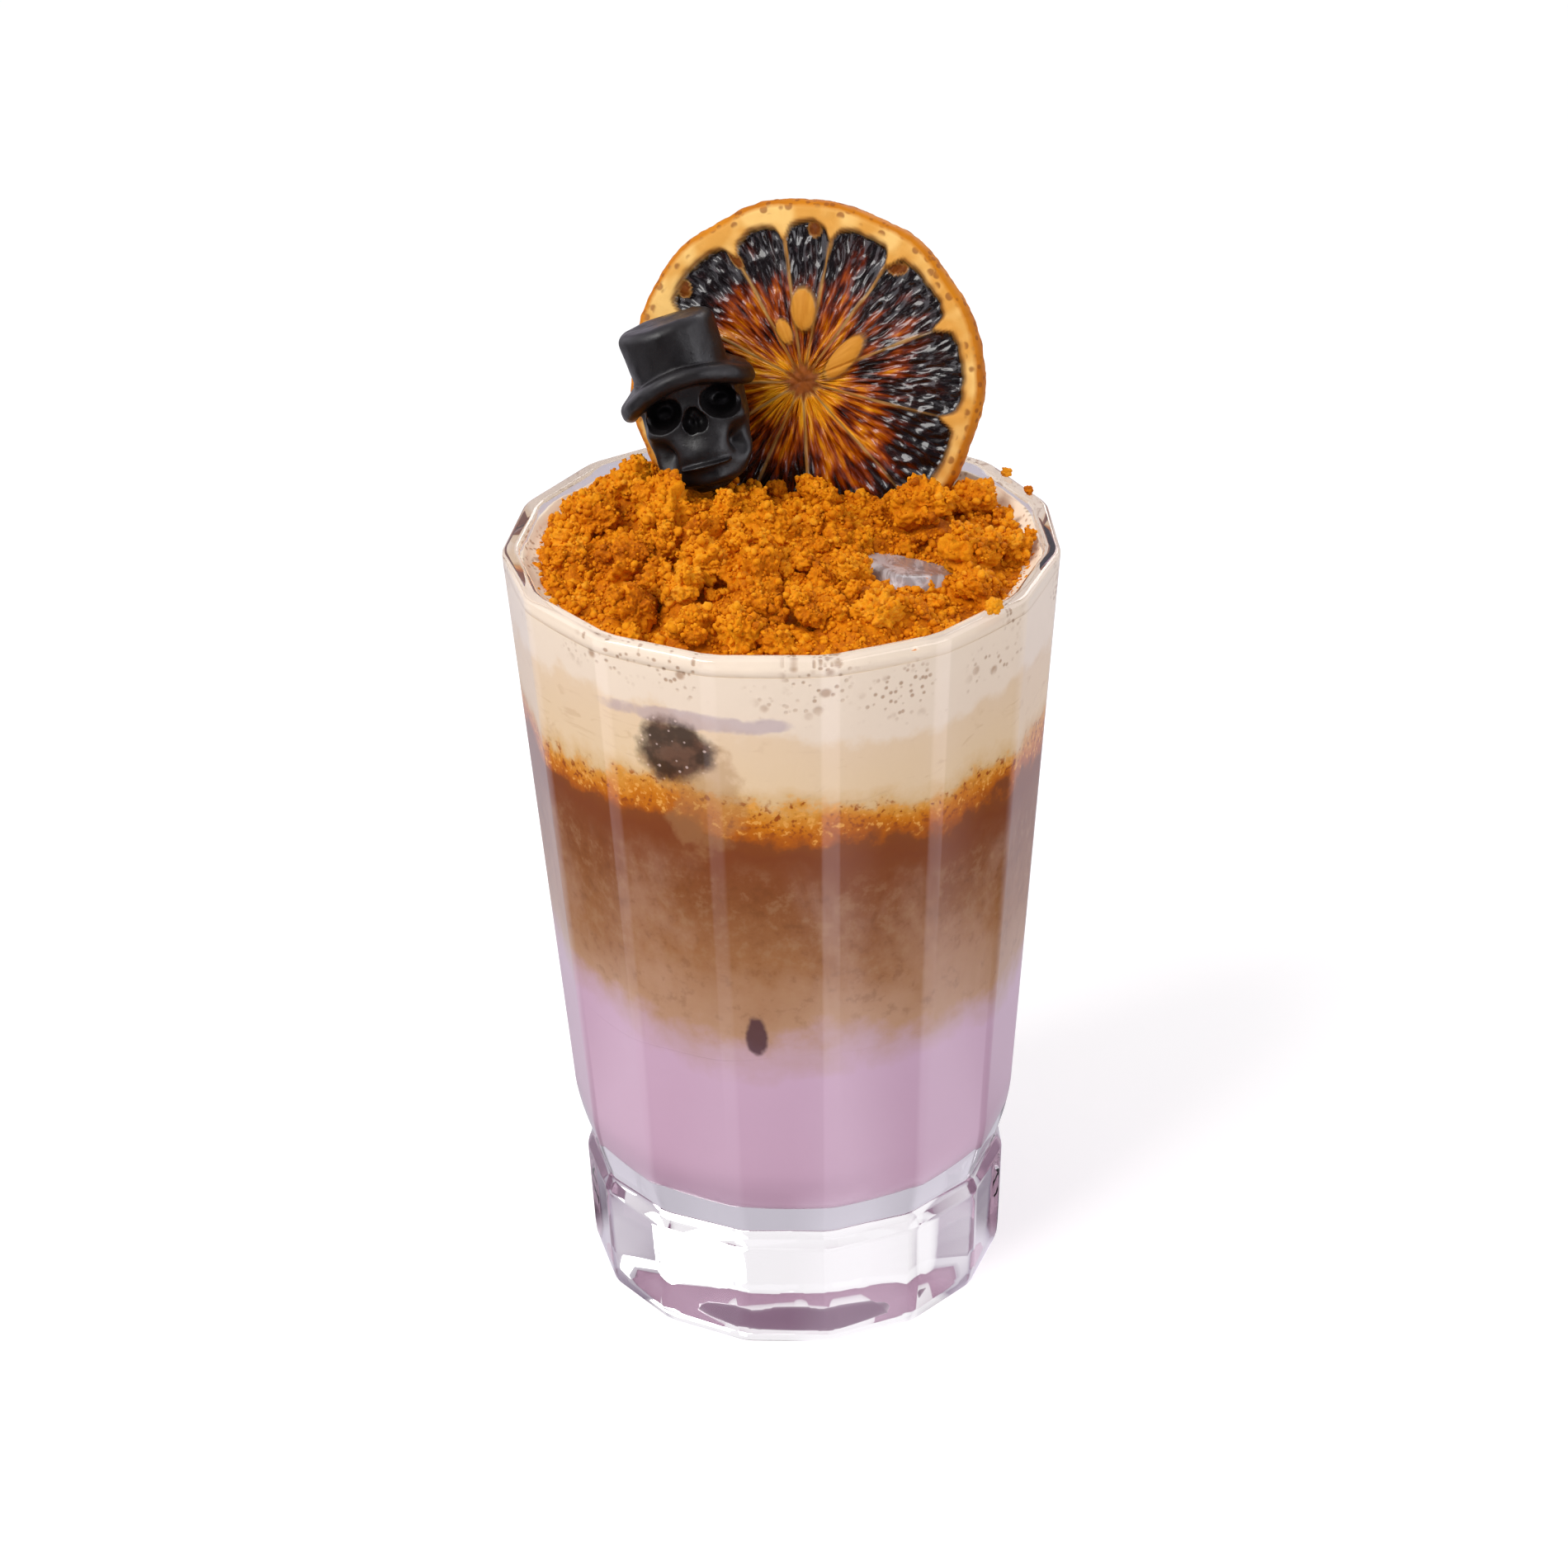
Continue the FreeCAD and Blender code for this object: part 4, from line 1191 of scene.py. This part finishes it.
def slice_look():
    look = Recipe("dried orange")
    part = {name: look.attribute(name)["Fac"] for name in kept}
    reach, wet = part["reach"], part["pulp"]
    fibre = look.attribute("fibre")["Vector"]
    place = look.object_place()
    streak = look.noise(fibre, 0.6, detail=2.0, rough=0.5)
    fine = look.noise(fibre, 1.7, detail=3.0, rough=0.6)
    broad = look.noise(place, 130.0, detail=2.0)
    speck = look.noise(place, 900.0, detail=3.0)
    # Inside: flesh with a few painted glints as painted highlights, pith that browns by the pulp, skins,
    # core, clear sacs and pips.
    tone = look.maths("ADD", broad, look.times_plus(reach, 0.85, streak))
    flesh = look.ramp(look.maths("SUBTRACT", tone, 1.03), FLESH)
    # Painted highlights: pale specks mixed into the flesh colour towards the peel.
    painted_glint = look.times(look.span(fine, 0.58, 0.70), look.span(reach, 0.35, 0.7))
    flesh = look.mix(look.times(painted_glint, 0.14), flesh, "86686E")
    pith = look.mix(look.span(broad, 0.42, 0.62), "ECBE70", "D89A44")
    pith = look.mix(look.times(part["edge"], 0.75), pith, "6B2E0C")
    colour = look.mix(wet, pith, flesh)
    skin = look.mix(look.span(reach, 0.3, 0.8), "4A1E04", "8A5A34")
    colour = look.mix(look.times(part["skin"], 0.65), colour, skin)
    colour = look.mix(part["core"], colour, look.mix(speck, "3A1206", "A85A1A"))
    colour = look.mix(part["amber"], colour, look.mix(fine, "3A1200", "8E4A0A"))
    colour = look.mix(part["pip"], colour, look.mix(streak, "B46A0C", "DC9C3C"))
    # Outside: a ring of oil glands in the pith, then the dotted peel, burnt in places.
    glands = look.span(look.cells(place, 520.0), 0.42, 0.26)
    by_peel = look.between(reach, 1.035, 1.06, 1.085, 1.11)
    colour = look.mix(look.times(glands, by_peel, 0.75), colour, "8A4E22")
    dots = look.span(look.cells(place, 700.0), 0.38, 0.22)
    peel = look.mix(look.times(dots, 0.7), look.mix(broad, "A85404", "D88A12"), "8A4A14")
    colour = look.mix(part["peel"], colour, peel)
    patch = look.span(look.noise(place, 95.0, detail=4.0), 0.60, 0.70)
    burnt = look.times(patch, look.span(reach, 0.98, 1.03), 0.7)
    colour = look.mix(burnt, colour, "6E3412")
    # The pulp is wet, most of all towards the peel.
    outer = look.times(wet, look.span(reach, 0.30, 0.75))
    height = look.times_plus(fine, look.times_plus(wet, 0.8, 0.1), look.times(speck, 0.25))
    look.surface(
        Base_Color=colour,
        Roughness=look.times_plus(wet, -0.30, 0.56),
        Specular_IOR_Level=0.15,
        Coat_Weight=look.times_plus(outer, 0.5, look.times(wet, 0.3)),
        Coat_Roughness=0.11,
        Normal=look.bump(height, 0.8, 0.35 * MM),
    )
    return look.material


finish_piece(slice_piece, "orange_slice", slice_look(), "orange_slice")

# %% [markdown]
# ## The skull in a top hat
#
# A small moulded skull, black and satin like chocolate or wax. The solid already has its bones. A mould
# gives soft edges, which a solid cut by clean tools lacks, so the copy is remeshed into small even cells
# and smoothed until the edges melt.

# %% Skull
SKULL_CELL = 0.2 * MM
DENTS = 0.14 * MM  # how deep the broad dents of a worn mould are
SHRUNK = 0.05 * MM  # it stays inside the solid
skull_piece = copy_of("skull", "moulded_skull")
melt = skull_piece.modifiers.new("even cells", "REMESH")
melt.mode = "VOXEL"
melt.voxel_size = SKULL_CELL
soft = skull_piece.modifiers.new("soft edges", "SMOOTH")
soft.factor = 0.5
soft.iterations = 7
apply_all(skull_piece)
ways = [Vector(point.normal) for point in skull_piece.data.vertices]
for point, way in zip(skull_piece.data.vertices, ways):
    dent = noise.fractal(point.co / (4.0 * MM), 0.9, 2.0, 2) * DENTS
    point.co += way * (dent - SHRUNK)
smooth(skull_piece)

# %% [markdown]
# Melting the edges also made the eye sockets small, so they are pressed in again, wider and deeper.

# %% Eye sockets
SOCKET = (3.1 * MM, 2.6 * MM, 2.2 * MM)  # half width, half height, depth
# The skull's own frame: +Z is up through it, and its face looks towards -Y.
CHIN = Vector((-10.3 * MM, 17.0 * MM, FOAM_Z + 5.0 * MM))
NOD, ROLL = radians(-14.0), radians(-13.5)
FACE_Y = -2.5 * MM  # only what is in front of this is pressed in
EYES = ((-4.5 * MM, 0.25), (4.5 * MM, -0.25))  # place to the side, and how far the brow slants
EYE_Z = 13.4 * MM
BROW_Z = 16.3 * MM
BROW_SOFT = 0.9 * MM

pose = Matrix.Translation(CHIN) @ Matrix.Rotation(NOD, 4, "X") @ Matrix.Rotation(ROLL, 4, "Y")
upright = pose.inverted()
for point in skull_piece.data.vertices:
    here = upright @ point.co
    if here.y > FACE_Y:
        continue
    for eye_x, slant in EYES:
        aside = here.x - eye_x
        above = here.z - EYE_Z - slant * aside
        off = hypot(aside / SOCKET[0], above / SOCKET[1])
        if off < 1 and here.z < BROW_Z:
            here.y += SOCKET[2] * (1 - off**3) ** 0.6 * fade(BROW_Z - here.z, 0, BROW_SOFT)
    point.co = pose @ here
smooth(skull_piece)

# %% Skull finish
def skull_look():
    look = Recipe("black wax")
    place = look.object_place()
    cloud = look.noise(place, 200.0, detail=4.0, rough=0.6)
    bead = look.span(look.cells(place, 850.0), 0.26, 0.12)
    beads = look.times(bead, look.span(look.noise(place, 160.0, detail=1.0), 0.55, 0.62))
    height = look.times_plus(beads, 0.6, look.noise(place, 1100.0, detail=3.0))
    look.surface(
        Base_Color=look.mix(cloud, "080708", "171415"),
        Roughness=look.span(cloud, 0.35, 0.65, 0.32, 0.50),
        Specular_IOR_Level=0.33,
        Normal=look.bump(height, 0.30, 0.15 * MM),
    )
    return look.material


finish_piece(skull_piece, "skull", skull_look(), "skull")

# %% [markdown]
# ## Ice
#
# One ice cube breaks the surface among the crumbs. Its form is right as it is, so it only gets a better
# material: grey and half clear, and whiter along the cracks where air froze in.

# %% Ice finish
def ice_look():
    look = Recipe("ice")
    long_way = look.stretched(look.object_place(), (1.0, 0.25, 1.0), turn=(0.0, 0.3, 0.7))
    crack = look.noise(long_way, 420.0, detail=4.0, rough=0.6, distortion=0.6)
    look.surface(
        Base_Color=look.mix(look.span(crack, 0.44, 0.58), "B3A6A6", "E6DEE2"),
        Roughness=look.span(crack, 0.4, 0.6, 0.06, 0.25),
        IOR=1.31,
        Transmission_Weight=0.35,
        Normal=look.bump(crack, 0.5, 0.4 * MM),
    )
    return look.material


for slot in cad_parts["ice_cube"].material_slots:
    slot.material = ice_look()
    print("the ice cube's finish has", len(slot.material.node_tree.nodes), "nodes")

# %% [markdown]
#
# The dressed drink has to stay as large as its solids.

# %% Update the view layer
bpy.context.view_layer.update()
